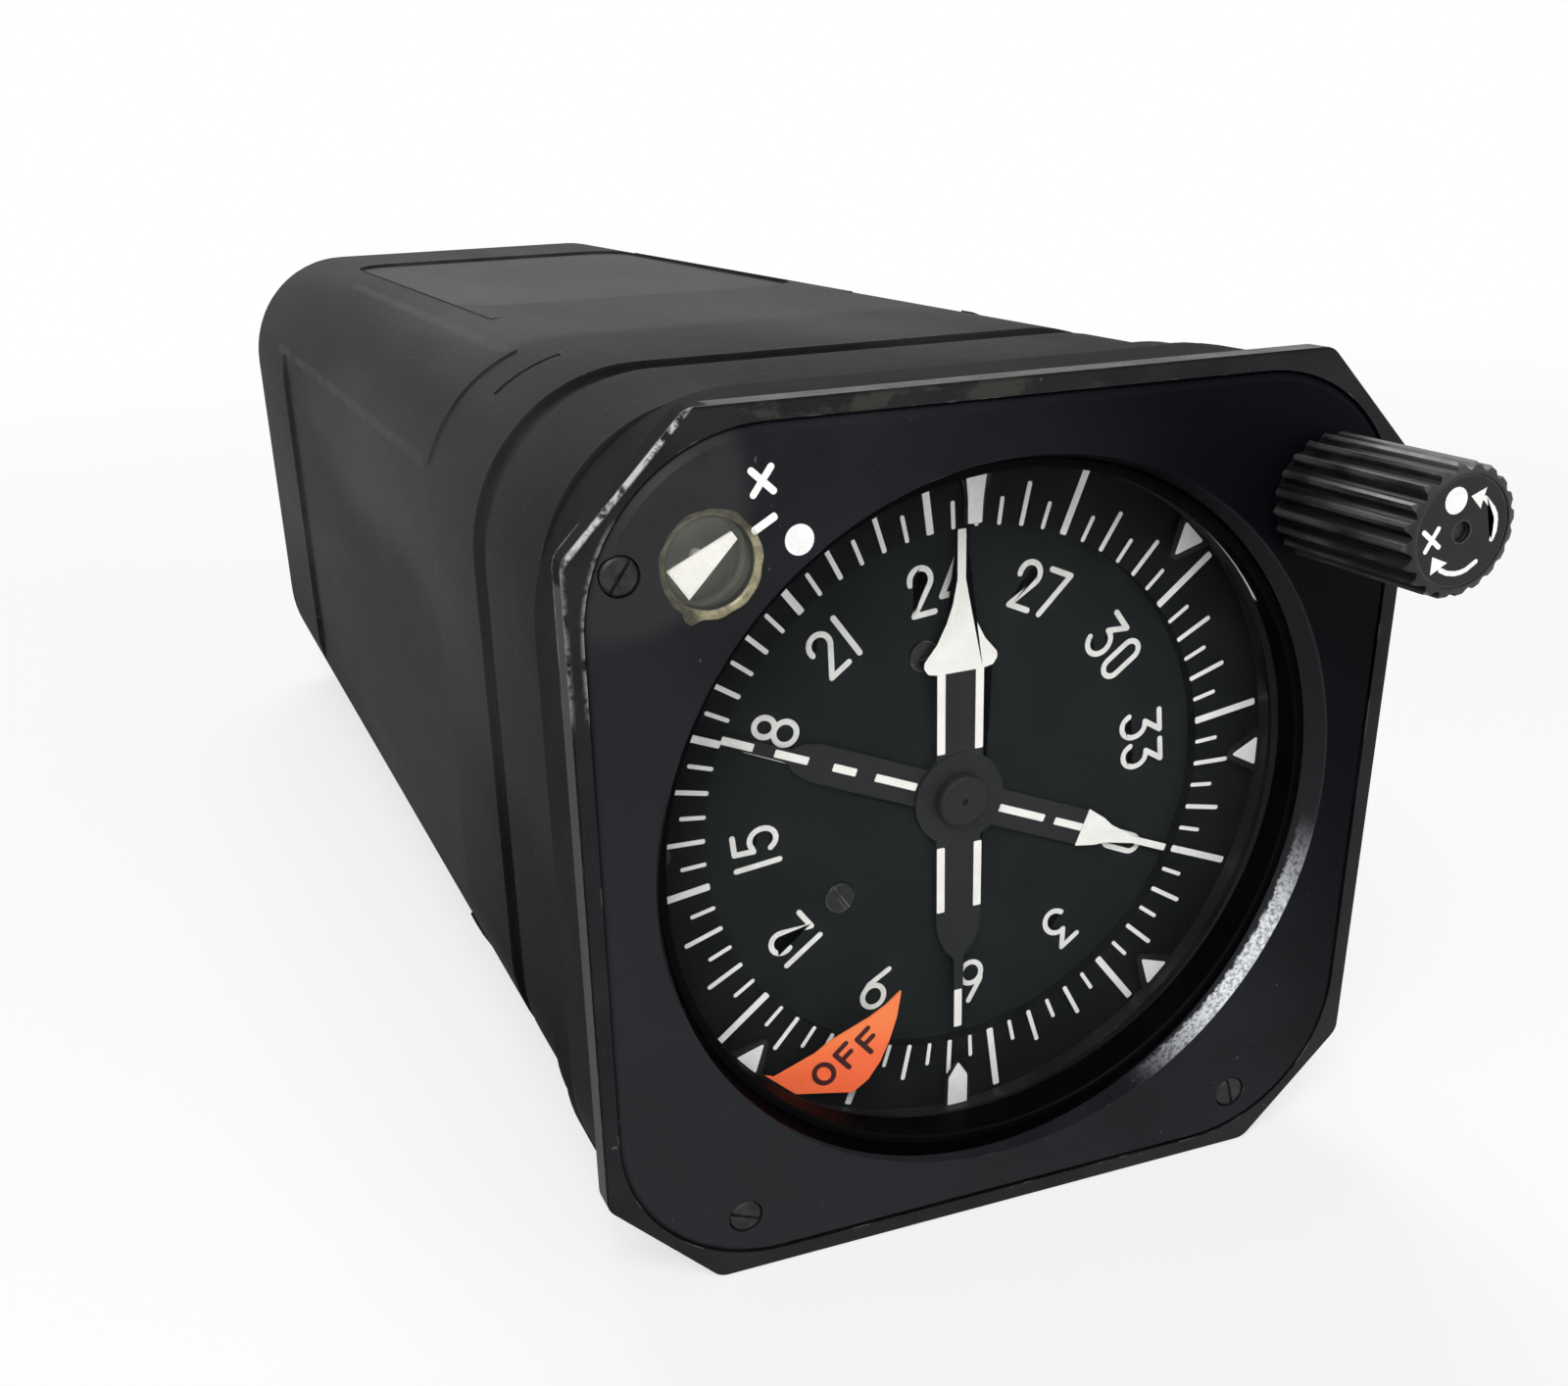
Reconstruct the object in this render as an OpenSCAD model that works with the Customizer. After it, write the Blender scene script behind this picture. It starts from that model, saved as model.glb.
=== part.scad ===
// Panel compass indicator: a square-cased repeater with a turning heading card,
// two bearing pointers on concentric shafts, a warning flag, a small null
// indicator and a fluted setting knob. +Y runs back from the panel seat along
// the case, +X is to the right seen from the front and +Z is up.

/* [Bezel] */
// Width and height of the eight-sided front flange
flange_w = 82.8; // [80:0.1:90]
// Size of the flange's corner cut, along each side
flange_cut = 10.9; // [8:0.1:14]
// Rounding of the flange's outline at each corner
flange_round = 2; // [0.5:0.5:3]
// Thickness of the flange
flange_t = 2.6; // [2:0.1:4]
// Distance from the front plate's face back to the panel seat
seat_depth = 11; // [10.5:0.1:13]
// Width and height of the block behind the flange
block_w = 82.4; // [81.6:0.1:82.6]
// Corner radius of that block
block_r = 12.5; // [11:0.5:15]

/* [Front plate] */
// Width and height of the front plate
plate_w = 79.6; // [76:0.1:80]
// Corner radius of the front plate
plate_r = 16; // [12:0.5:18]
// Thickness of the front plate
plate_t = 2.4; // [2:0.1:2.8]
// How far the plate stands out of the flange
plate_proud = 0.4; // [0.2:0.1:0.8]
// Bevel along the plate's outer edge
plate_bevel = 0.8; // [0.4:0.1:1.2]
// Radius of the dial opening in the plate's face
opening_r = 34.9; // [34.6:0.1:35.4]
// Radius of the opening behind its bevel
throat_r = 34.2; // [33.8:0.1:34.4]
// Head radius of the plate screws
screw_head_r = 1.45; // [1.2:0.05:1.7]
// Radius of the hollow round each screw head
screw_well_r = 1.75; // [1.6:0.05:1.8]

/* [Glass] */
// Depth of the glass behind the front plate's face
glass_depth = 6.2; // [5.4:0.1:6.6]
// Thickness of the glass
glass_t = 1.8; // [1.4:0.1:1.9]
// Radius of the glass
glass_r = 36.2; // [35.8:0.1:36.4]
// Thickness of the rubber ring round the glass
gasket_t = 0.6; // [0.4:0.1:0.8]

/* [Compass card] */
// Depth of the card's face behind the front plate's face
card_depth = 10; // [9.8:0.1:10.4]
// Radius of the card
card_r = 35.6; // [35:0.1:36]
// Radius of the sunk disc that carries the numbers
disc_r = 27; // [25:0.1:28]
// How far that disc lies behind the card's outer ring
disc_drop = 1.4; // [0.8:0.1:1.8]
// Thickness of the card's floor behind that disc
card_web = 0.8; // [0.6:0.1:1]
// Radius of the circle the card's screws lie on
card_screw_pcr = 15.3; // [14:0.1:18]
// Head radius of the card's screws
card_screw_r = 1.5; // [1:0.1:1.8]
// Teeth on the card's gear
card_teeth = 96; // [90:6:102]
// Teeth on the motor's pinion
pinion_teeth = 18; // [18:2:22]
// Teeth on the heading transmitter's gear
heading_teeth = 40; // [36:4:44]
// Teeth on each gear of the rear pointer's pair
sleeve_teeth = 40; // [40:2:44]
// Tooth module of all gears
tooth_m = 0.5; // [0.48:0.01:0.52]
// Face width of the gears
gear_w = 1.8; // [1.2:0.1:2]

/* [Pointers] */
// Length of the front pointer from its centre to its tip
front_reach = 26.7; // [24:0.1:26.9]
// Length of the front pointer's tail
front_tail = 25.6; // [22:0.1:26.5]
// Half width of the front pointer's bar
front_bar = 2.35; // [2:0.05:2.8]
// Half width of the front pointer's head
front_head = 3.9; // [3:0.1:4.5]
// Bearing of the front pointer at rest, clockwise from the top
front_bearing = 359; // [0:1:360]
// Length of the rear pointer from its centre to its tip
rear_reach = 26.2; // [24:0.1:26.9]
// Length of the rear pointer's tail
rear_tail = 26.7; // [24:0.1:26.9]
// Half width of the rear pointer's bar
rear_bar = 1.9; // [1.5:0.05:2.4]
// Bearing of the rear pointer at rest, clockwise from the top
rear_bearing = 111.6; // [0:0.1:360]
// Thickness of each pointer
pointer_t = 0.35; // [0.3:0.05:0.4]
// Radius of the boss at each pointer's centre
boss_r = 4.8; // [4:0.1:6]
// Radius of the cap over the centre
hub_r = 2.7; // [2.2:0.1:3.2]
// Radius of the front pointer's shaft
shaft_r = 1; // [0.8:0.05:1.2]
// Wall of each hollow shaft
sleeve_wall = 0.75; // [0.6:0.05:0.9]
// Running clearance between shafts, on the radius
run_gap = 0.05; // [0.03:0.01:0.08]

/* [Knob] */
// Distance of the knob's axis to the right of the dial's centre
knob_x = 30.2; // [30.1:0.1:30.8]
// Height of the knob's axis above the dial's centre
knob_z = 28.6; // [28.5:0.1:29]
// Radius of the knob over its flutes
knob_r = 5.7; // [5.5:0.1:6.8]
// How far the knob stands out from the front plate
knob_l = 18; // [12:0.5:20]
// Number of flutes
flutes = 20; // [16:1:24]
// Depth of the flutes
flute_depth = 0.65; // [0.4:0.05:0.8]
// Radius of the knob's shaft
knob_shaft_r = 1.6; // [1.4:0.1:2]

/* [Null indicator] */
// Distance of its window to the left of the dial's centre
null_x = 29.1; // [28.9:0.1:29.5]
// Height of its window above the dial's centre
null_z = 29.2; // [29:0.1:29.5]
// Radius of its window
window_r = 4; // [3.6:0.1:4.2]
// How far the window domes out of the plate
dome_h = 0.8; // [0.5:0.1:1.2]

/* [Case] */
// Width and height of the case
case_w = 80.2; // [79.6:0.1:80.6]
// Corner radius of the case
case_r = 17.9; // [17:0.1:18.5]
// Distance from the front plate's face to the case's rear face
case_depth = 225; // [215:1:240]
// Rounding of the case's rear edge
rear_round = 8; // [5:0.5:9]
// Wall of the case
case_wall = 1.6; // [1.2:0.1:1.8]
// Depth of the collar that joins bezel and case, from the panel seat
collar_l = 12; // [10:0.5:14]
// Start of the clamping groove round the case, from the front plate's face
groove_start = 33; // [31:0.5:36]
// Width of the clamping groove
groove_w = 5.5; // [4:0.5:7]
// Depth of the clamping groove
groove_d = 0.9; // [0.5:0.1:1.1]
// Depth of the flat on the left and right sides
flat_d = 0.83; // [0.5:0.01:1]
// Length of the flat along the case
flat_l = 122; // [100:1:130]
// Length of the shallow panel on the top
panel_l = 92; // [80:1:100]
// Half width of the shallow panel on the top
panel_half = 24.5; // [20:0.5:26]

/* [Receptacle] */
// Radius of the receptacle's shell
shell_r = 11.1; // [9:0.1:12.7]
// How far the shell stands out of the case
shell_l = 13; // [12.5:0.5:15]
// Wall of the shell
shell_wall = 1.3; // [1:0.1:1.6]
// Width of the receptacle's square flange
shell_flange_w = 30.2; // [29:0.1:34]
// Spacing of the flange's screws
shell_screw_pitch = 23; // [22.6:0.1:24]

/* [Warning flag] */
// Distance of the flag's pivot to the left of the dial's centre
flag_x = 31; // [30.6:0.1:31.5]
// Distance of the flag's pivot below the dial's centre
flag_z = 22.5; // [22:0.1:23]
// Thickness of the flag
flag_t = 0.3; // [0.2:0.05:0.35]

/* [Hidden] */
$fn = 64;

// Gaps that pieces are assembled with
seat_gap = 0.05;
face_gap = 0.3;
air = 0.15;
fit_gap = 0.01;

// Bezel
flange_front = plate_proud;
flange_back = flange_front + flange_t;
block_half = block_w / 2;
bezel_bore_r = glass_r + gasket_t;
glass_back = glass_depth + glass_t;
ring_front = glass_back + seat_gap;
ring_back = card_depth - face_gap;
ring_outer_r = 38.2;
rim_wall = 1.5;

// Layers between glass and card, as depths behind the front plate's face
cap_front = glass_back + face_gap;
boss_rise = 0.08;
front_pointer_y = cap_front + 0.35;
rear_pointer_y = front_pointer_y + pointer_t + 0.25;
flag_y = glass_back + air;
tab_y = 9.15;
tab_t = 0.35;

// Layers behind the card
disc_t = 0.2;
disc_face = card_depth + disc_drop;
card_back = disc_face + disc_t + card_web;
hub_flange_t = 1;
gear_y = card_back + hub_flange_t + air;
frame_y = gear_y + gear_w + 1.1;
frame_t = 3;
frame_back = frame_y + frame_t;
clip_t = 0.8;
sleeve_gear_y = frame_back + 2.4;
middle_y = sleeve_gear_y + gear_w + 2.2;
middle_t = 2;
middle_back = middle_y + middle_t;
rear_frame_y = case_depth - 17;
rear_frame_t = 2;

// Concentric shafts
rear_bore_r = shaft_r + run_gap;
rear_sleeve_r = rear_bore_r + sleeve_wall;
card_bore_r = rear_sleeve_r + run_gap;
card_sleeve_r = card_bore_r + sleeve_wall;
frame_bore_r = card_sleeve_r + run_gap;

// Gears
press_angle = 20;
backlash = 0.08;
addendum = 0.9 * tooth_m;
dedendum = 1.25 * tooth_m;
card_pitch_r = tooth_m * card_teeth / 2;
motor_angle = 270;
motor_dist = tooth_m * (card_teeth + pinion_teeth) / 2;
heading_angle = 315;
heading_dist = tooth_m * (card_teeth + heading_teeth) / 2;
synchro_angle = 180;
synchro_dist = tooth_m * sleeve_teeth;
motor_at = polar(motor_dist, motor_angle);
heading_at = polar(heading_dist, heading_angle);
synchro_at = polar(synchro_dist, synchro_angle);
drive_shaft_r = 1;
synchro_r = 9.2;
motor_r = 8.6;
synchro_l = 34;
motor_l = 44;

// Case
case_half = case_w / 2;
can_inner_half = case_half - case_wall;
can_inner_r = case_r - case_wall;
frame_half = can_inner_half - 1.5;
frame_r = can_inner_r - 1.5;
flat_start = 60;
panel_start = 88;
panel_d = 0.55;
pillar_x = 12;
case_screw_x = case_half - 13.1;
case_screw_r = 1.5;
case_screw_head_r = 2.7;
case_screw_head_h = 1.6;
pillar_r = 1.8;
pillar_z = frame_half - pillar_r - 0.4;
board_half = frame_half - 13;
board_t = 1.6;
board_x = frame_half - 10;
board_start = middle_back + synchro_l + 12;
board_end = rear_frame_y - 1;

// Receptacle
insert_h = 4.5;
pin_l = 4;

// Small bodies behind the front
knob_at = [knob_x, knob_z];
null_at = [-null_x, null_z];
flag_at = [-flag_x, -flag_z];
transmitter_r = 4.4;
transmitter_l = 18;
null_body_r = 5;
null_step = glass_depth - 0.2;
null_tail_r = 2.8;
null_stem_r = 0.55;
null_pointer_y = 0.8;
null_body_end = frame_y - 0.6;
actuator_r = 5;
actuator_l = 14;
bush_r = 3.2;
flag_shaft_r = 0.7;
screw_in = 5;
side_screw_in = 3.1;
screw_at = [[-27.8, screw_in - plate_w / 2], [27.8, screw_in - plate_w / 2],
    [side_screw_in - plate_w / 2, 29], [plate_w / 2 - side_screw_in, 29]];
screw_shank_r = 0.8;
post_r = 1.3;
post_edge = frame_half - post_r - 0.5;
post_at = [[-post_edge, 19.5], [post_edge, 19], [-20, post_edge], [20, post_edge],
    [19, -post_edge], [post_edge, -19]];

// Outline of the flag's blade and arm, seen from the front
flag_points = [[-7.28, -18.72], [-8.9, -20], [-10.7, -21], [-15.11, -22.75], [-16.76, -23.79],
    [-21.2, -25.4], [-flag_x - 0.3, -flag_z + 1.4], [-flag_x - 0.9, -flag_z - 1.2],
    [-22, -27.2], [-19.35, -27.8], [-12.59, -29.24], [-10.9, -28.1], [-9.56, -26.29],
    [-8.6, -24.2], [-7.75, -21.6]];

// A point at distance r and angle a from the dial's centre
function polar(r, a) = [r * cos(a), r * sin(a)];
// A point at distance r and compass bearing b
function bearing(r, b) = [r * sin(b), r * cos(b)];
// The involute function in degrees
function inv(a) = tan(a) * 180 / PI - a;
// Half the angle of a tooth at radius r
function tooth_half(n, r) =
    let (rp = tooth_m * n / 2, rb = rp * cos(press_angle))
    90 / n - backlash / 2 / rp * 180 / PI + inv(press_angle) - inv(acos(min(1, rb / r)));
// The outline of a gear with n teeth, one tooth centred on angle a0
function gear_points(n, a0) =
    let (rp = tooth_m * n / 2, rb = rp * cos(press_angle),
         rr = rp - dedendum, rt = rp + addendum,
         r0 = max(rb, rr) + 0.001, rm = (r0 + rt) / 2,
         h0 = tooth_half(n, r0))
    [for (i = [0:n - 1]) let (a = a0 + i * 360 / n)
        each [polar(rr, a - h0), polar(r0, a - h0), polar(rm, a - tooth_half(n, rm)),
              polar(rt, a - tooth_half(n, rt)), polar(rt, a + tooth_half(n, rt)),
              polar(rm, a + tooth_half(n, rm)), polar(r0, a + h0), polar(rr, a + h0)]];
// Where a follower's tooth lies so that it meshes with a gear whose tooth is at angle 0
function mesh_angle(driver, follower, at) = at + 180 + 180 / follower + at * driver / follower;
// The corner points of an outline cut back at its corners, each corner rounded
function cut_corner(h, c) = [[h, c - h], [h, h - c], [h - c, h], [c - h, h],
    [-h, h - c], [-h, c - h], [c - h, -h], [h - c, -h]];
function round_points(p, r, k) =
    [for (i = [0:len(p) - 1])
        let (q = p[i], u = p[(i + len(p) - 1) % len(p)] - q, v = p[(i + 1) % len(p)] - q,
             un = u / norm(u), vn = v / norm(v), half = acos(un * vn) / 2,
             c = q + (un + vn) / norm(un + vn) * r / sin(half),
             a = atan2(q[1] - c[1], q[0] - c[0]))
        for (j = [-k:k]) c + polar(r, a + j * (90 - half) / k)];

// Extrudes a front-view outline between two depths behind the front plate's face
module along(a, b) {
    translate([0, b - seat_depth, 0]) rotate([90, 0, 0]) linear_extrude(b - a) children();
}
// Turns a profile of radius and depth about the dial's axis, from depth a
module turned(a) {
    translate([0, a - seat_depth, 0]) rotate([-90, 0, 0]) rotate_extrude() children();
}
// Moves a piece to a place in the front view
module at(p) {
    translate([p[0], 0, p[1]]) children();
}
module rod(r, a, b) {
    along(a, b) circle(r);
}
module ring(r_out, r_in, a, b) {
    along(a, b) difference() {
        circle(r_out);
        circle(r_in);
    }
}
module rounded_square(half, r) {
    square([2 * half, 2 * (half - r)], center = true);
    square([2 * (half - r), 2 * half], center = true);
    for (x = [-1, 1], y = [-1, 1]) translate([x * (half - r), y * (half - r)]) circle(r);
}
module octagon() {
    polygon(round_points(cut_corner(flange_w / 2, flange_cut), flange_round, 2));
}
// A rounded-square plate whose front edge is bevelled
module bevelled_pad(half, r, a, b, bevel) {
    for (x = [-1, 1], z = [-1, 1]) at([x * (half - r), z * (half - r)]) turned(a)
        polygon([[0, 0], [r - bevel, 0], [r, bevel], [r, b - a], [0, b - a]]);
    for (turn = [0, 90]) rotate([0, turn, 0]) translate([0, 0, r - half])
        linear_extrude(2 * (half - r)) translate([0, a - seat_depth])
            polygon([[bevel - half, 0], [half - bevel, 0], [half, bevel], [half, b - a],
                     [-half, b - a], [-half, bevel]]);
}
// A rounded-square block whose rear edge is rounded
module soft_block(half, r, a, b, f) {
    len = b - a;
    for (x = [-1, 1], z = [-1, 1]) at([x * (half - r), z * (half - r)]) turned(a) {
        square([r, len - f]);
        square([r - f, len]);
        translate([r - f, len - f]) circle(f);
    }
    for (turn = [0, 90]) rotate([0, turn, 0]) translate([0, 0, r - half])
        linear_extrude(2 * (half - r)) translate([0, a - seat_depth]) {
            translate([-half, 0]) square([2 * half, len - f]);
            translate([f - half, 0]) square([2 * (half - f), len]);
            for (x = [-1, 1]) translate([x * (half - f), len - f]) circle(f);
        }
}

// Bezel casting: the eight-sided flange and the block behind it in one piece
module bezel_casting() color([0.10, 0.10, 0.11]) difference() {
    union() {
        along(flange_front, flange_back) octagon();
        along(flange_back, seat_depth) rounded_square(block_half, block_r);
    }
    along(flange_front - 1, plate_t) rounded_square(plate_w / 2 + seat_gap, plate_r + seat_gap);
    rod(throat_r, flange_front - 1, seat_depth + 1);
    rod(bezel_bore_r + seat_gap, glass_depth, seat_depth + 1);
    rod(ring_outer_r + seat_gap, glass_back, seat_depth + 1);
    intersection() {
        along(glass_back, seat_depth + 1) rounded_square(block_half - rim_wall, block_r - rim_wall);
        at(flag_at) rod(26, glass_back, seat_depth + 1);
    }
    at(null_at) rod(null_body_r + 0.1, plate_t - 1, null_step + 0.05);
    at(null_at) rod(null_tail_r + 0.1, null_step - 1, seat_depth + 1);
    at(knob_at) rod(bush_r + seat_gap, plate_t - 1, seat_depth + 1);
    for (p = screw_at) at(p) rod(screw_shank_r + seat_gap, plate_t - 1, plate_t + 4.2);
}

// Front plate with its round opening and four sunk screws
module front_plate() color([0.16, 0.17, 0.18]) difference() {
    bevelled_pad(plate_w / 2, plate_r, 0, plate_t, plate_bevel);
    turned(-0.01) polygon([[0, 0], [opening_r + 0.01, 0], [throat_r, plate_t - 0.1],
        [throat_r, plate_t + 1], [0, plate_t + 1]]);
    at(null_at) rod(window_r + seat_gap, -1, plate_t + 1);
    at(knob_at) rod(bush_r + seat_gap, -1, plate_t + 1);
    for (p = screw_at) at(p) {
        rod(screw_well_r, -1, 1);
        rod(screw_shank_r + seat_gap, 0, plate_t + 1);
    }
}

// The four slotted screws that hold the front plate
module plate_screws() color([0.3, 0.3, 0.31]) for (i = [0:3]) at(screw_at[i]) difference() {
    union() {
        rod(screw_head_r, 0.2, 1);
        rod(screw_shank_r, 1, plate_t + 4);
    }
    rotate([0, 25 + 50 * i, 0]) translate([-screw_head_r - 1, -seat_depth - 1, -0.2])
        cube([2 * screw_head_r + 2, 1.65, 0.4]);
}

module cover_glass() color([0.8, 0.85, 0.88, 0.4]) rod(glass_r, glass_depth + seat_gap, glass_back);

module glass_gasket() color([0.2, 0.2, 0.2])
    ring(bezel_bore_r, glass_r + 0.02, glass_depth + seat_gap, glass_back);

// Index ring: the wall between glass and card, with eight fixed lugs over the card
module index_ring() color([0.33, 0.34, 0.36]) {
    difference() {
        ring(ring_outer_r, throat_r + air, ring_front, ring_back);
        intersection() {
            at(flag_at) rod(26, ring_front - 1, flag_y + flag_t + 0.2);
            along(ring_front - 1, flag_y + flag_t + 0.2)
                polygon([[0, 0], bearing(60, 190), bearing(60, 225), bearing(60, 255)]);
        }
        at(flag_at) rod(flag_shaft_r + face_gap, ring_front - 1, ring_back + 1);
    }
    index_lugs();
}
lug_root = throat_r + 0.5;
// The lugs under the fixed marks: a column at the top, a five-sided lug below
// and triangles at the other 45-degree stations
module index_lugs() along(tab_y, tab_y + tab_t) {
    polygon([[-0.9, 27.35], [0.9, 27.35], [1, 30], [1.8, 32.2], [2.2, lug_root], [-2.2, lug_root],
        [-1.8, 32.2], [-1, 30]]);
    polygon([[0, -29.2], [1.4, -31], [1.5, -lug_root], [-1.5, -lug_root], [-1.4, -31]]);
    for (b = [45, 90, 135, 225, 270, 315]) rotate(-b)
        polygon([[-0.4, 30.6], [0.4, 30.6], [2.2, 33.6], [2.2, lug_root], [-2.2, lug_root],
            [-2.2, 33.6]]);
}

// Stepped collar that joins the bezel to the case
module mounting_collar() color([0.2, 0.2, 0.21]) difference() {
    union() {
        along(seat_depth, seat_depth + 5) rounded_square(case_half + 0.5, case_r - 2);
        along(seat_depth + 5, seat_depth + 9) rounded_square(case_half + 0.3, case_r - 1);
        along(seat_depth + 9, seat_depth + collar_l) rounded_square(case_half, case_r);
        along(seat_depth, seat_depth + collar_l + 5)
            rounded_square(can_inner_half - seat_gap, can_inner_r - seat_gap);
    }
    along(seat_depth - 1, seat_depth + collar_l + 6)
        rounded_square(can_inner_half - 1.2, can_inner_r - 1.2);
}

// Deep case with a rounded rear edge, a clamping groove, side flats and a top panel
module case_can() color([0.25, 0.25, 0.26]) difference() {
    union() {
        soft_block(case_half, case_r, seat_depth + collar_l, case_depth, rear_round);
        along(61.5, 64.5) for (x = [-1, 1], y = [-1, 1])
            translate([x * (case_half - case_r), y * (case_half - case_r)]) intersection() {
                circle(case_r + 0.3);
                translate([x > 0 ? 6 : -26, y > 0 ? 6 : -26]) square(20);
            }
    }
    soft_block(can_inner_half, can_inner_r, seat_depth + collar_l - 1, case_depth - case_wall,
        rear_round - case_wall);
    along(groove_start, groove_start + groove_w) difference() {
        square(2 * case_half + 4, center = true);
        rounded_square(case_half - groove_d, case_r - groove_d);
    }
    for (x = [-1, 1]) translate([x * (case_half - flat_d + 5), flat_start - seat_depth, -40])
        translate([-5, 0, 0]) cube([10, flat_l, 80]);
    translate([-panel_half, panel_start - seat_depth, case_half - panel_d])
        cube([2 * panel_half, panel_l, 5]);
    translate([0, 52 - seat_depth, 0]) rotate([0, -38, 0]) translate([-4, -0.6, 0])
        cube([8, 1.2, 60]);
    rod(shell_r - 1, case_depth - case_wall - 2, case_depth + 1);
    for (x = [-1, 1], y = [-1, 1])
        at([x * shell_screw_pitch / 2, y * shell_screw_pitch / 2])
            rod(1.15, case_depth - case_wall - 2, case_depth + 1);
    for (x = [-1, 1], y = [-1, 1]) at([x * case_screw_x, y * case_screw_x])
        rod(case_screw_r + 0.1, case_depth - case_wall - 2, case_depth + 1);
}

// Four screws that hold the case to the rear frame
module case_screws() color([0.5, 0.5, 0.52]) for (x = [-1, 1], y = [-1, 1])
    at([x * case_screw_x, y * case_screw_x]) difference() {
        union() {
            rod(case_screw_head_r, case_depth, case_depth + case_screw_head_h);
            rod(case_screw_r, rear_frame_y + rear_frame_t, case_depth);
        }
        translate([-2 * case_screw_r - 1, case_depth + 0.9 - seat_depth, -0.35])
            cube([4 * case_screw_r + 2, 2, 0.7]);
    }

// Round receptacle at the back
module receptacle_shell() color([0.55, 0.55, 0.52]) difference() {
    union() {
        along(case_depth, case_depth + 1.6) rounded_square(shell_flange_w / 2, 3);
        rod(shell_r, case_depth + 1.6, case_depth + shell_l);
        rod(shell_r - 1 - seat_gap, case_depth - 6, case_depth);
    }
    rod(shell_r - shell_wall, case_depth + 3, case_depth + shell_l + 1);
    rod(shell_r - shell_wall - 2, case_depth - 7, case_depth + 4);
    for (x = [-1, 1], y = [-1, 1])
        at([x * shell_screw_pitch / 2, y * shell_screw_pitch / 2])
            rod(1.15, case_depth - 1, case_depth + 3);
}

// One contact pin of the receptacle
module contact() {
    rod(0.6, case_depth + insert_h, case_depth + insert_h + pin_l);
}
// Insulating insert with its contact pins
module receptacle_insert() color([0.1, 0.2, 0.15]) {
    rod(shell_r - shell_wall - 2 - seat_gap, case_depth - 6, case_depth + insert_h);
    contact();
    for (i = [0:5]) at(polar(2.9, 60 * i)) contact();
    for (i = [0:11]) at(polar(5.9, 30 * i + 15)) contact();
}

module receptacle_screws() color([0.6, 0.6, 0.6]) for (x = [-1, 1], y = [-1, 1])
    at([x * shell_screw_pitch / 2, y * shell_screw_pitch / 2]) {
        rod(2, case_depth + 1.6, case_depth + 3);
        rod(1.1, case_depth - 5, case_depth + 1.6);
    }

// Front frame plate, with the bearing for the card's hollow shaft
module front_frame() color([0.62, 0.63, 0.65]) difference() {
    along(frame_y, frame_back) rounded_square(frame_half, frame_r);
    rod(frame_bore_r, frame_y - 1, frame_back + 1);
    at(motor_at) rod(drive_shaft_r + run_gap, frame_y - 1, frame_back + 1);
    at(heading_at) rod(drive_shaft_r + run_gap, frame_y - 1, frame_back + 1);
    at(flag_at) rod(flag_shaft_r + run_gap, frame_y - 1, frame_back + 1);
    at(knob_at) rod(knob_shaft_r + run_gap, frame_y - 1, frame_back + 1);
    for (x = [-1, 1]) along(frame_y - 1, frame_back + 1) translate([x * 24, 0]) circle(4.5);
}

// Middle frame plate, behind the gears of the rear pointer
module middle_frame() color([0.62, 0.63, 0.65]) difference() {
    along(middle_y, middle_back) rounded_square(frame_half, frame_r);
    rod(shaft_r + run_gap, middle_y - 1, middle_back + 1);
    at(synchro_at) rod(drive_shaft_r + run_gap, middle_y - 1, middle_back + 1);
    at(motor_at) rod(motor_r + 0.3, middle_y - 1, middle_back + 1);
    at(heading_at) rod(synchro_r + 0.3, middle_y - 1, middle_back + 1);
    at(flag_at) rod(actuator_r + 0.3, middle_y - 1, middle_back + 1);
    at(knob_at) rod(transmitter_r + 0.3, middle_y - 1, middle_back + 1);
}

module rear_frame() color([0.62, 0.63, 0.65]) difference() {
    along(rear_frame_y, rear_frame_y + rear_frame_t)
        rounded_square(frame_half, frame_r);
    rod(12, rear_frame_y - 1, rear_frame_y + rear_frame_t + 1);
}

// Pillars between the frame plates
module frame_pillars() color([0.7, 0.7, 0.7]) for (x = [-1, 1], y = [-1, 1])
    at([x * pillar_x, y * pillar_z]) {
        rod(pillar_r, frame_back, middle_y);
        rod(pillar_r, middle_back, rear_frame_y);
    }

// Posts that hold the bezel casting to the front frame
module front_posts() color([0.7, 0.7, 0.7]) for (p = post_at) at(p)
    rod(post_r, seat_depth, frame_y);

module synchro_body(r, a, b, bore) {
    difference() {
        union() {
            rod(r, a, a + 3);
            rod(r - 0.6, a + 3, a + 5);
            rod(r, a + 5, b - 3);
            rod(r - 1.5, b - 3, b);
        }
        rod(bore, a - 1, a + 9);
    }
}
module servo_motor() color([0.5, 0.5, 0.5]) at(motor_at)
    synchro_body(motor_r, frame_back, frame_back + motor_l, drive_shaft_r + run_gap);
module heading_transmitter() color([0.55, 0.55, 0.56]) at(heading_at)
    synchro_body(synchro_r, frame_back, frame_back + synchro_l, drive_shaft_r + run_gap);
module axis_synchro() color([0.55, 0.55, 0.56])
    synchro_body(synchro_r, middle_back, middle_back + synchro_l, shaft_r + run_gap);
module offset_synchro() color([0.55, 0.55, 0.56]) at(synchro_at)
    synchro_body(synchro_r, middle_back, middle_back + synchro_l, drive_shaft_r + run_gap);
module flag_actuator() color([0.4, 0.3, 0.2]) at(flag_at)
    synchro_body(actuator_r, frame_back, frame_back + actuator_l, flag_shaft_r + run_gap);
module knob_transmitter() color([0.45, 0.45, 0.46]) at(knob_at)
    synchro_body(transmitter_r, frame_back, frame_back + transmitter_l, knob_shaft_r + run_gap);

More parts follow.
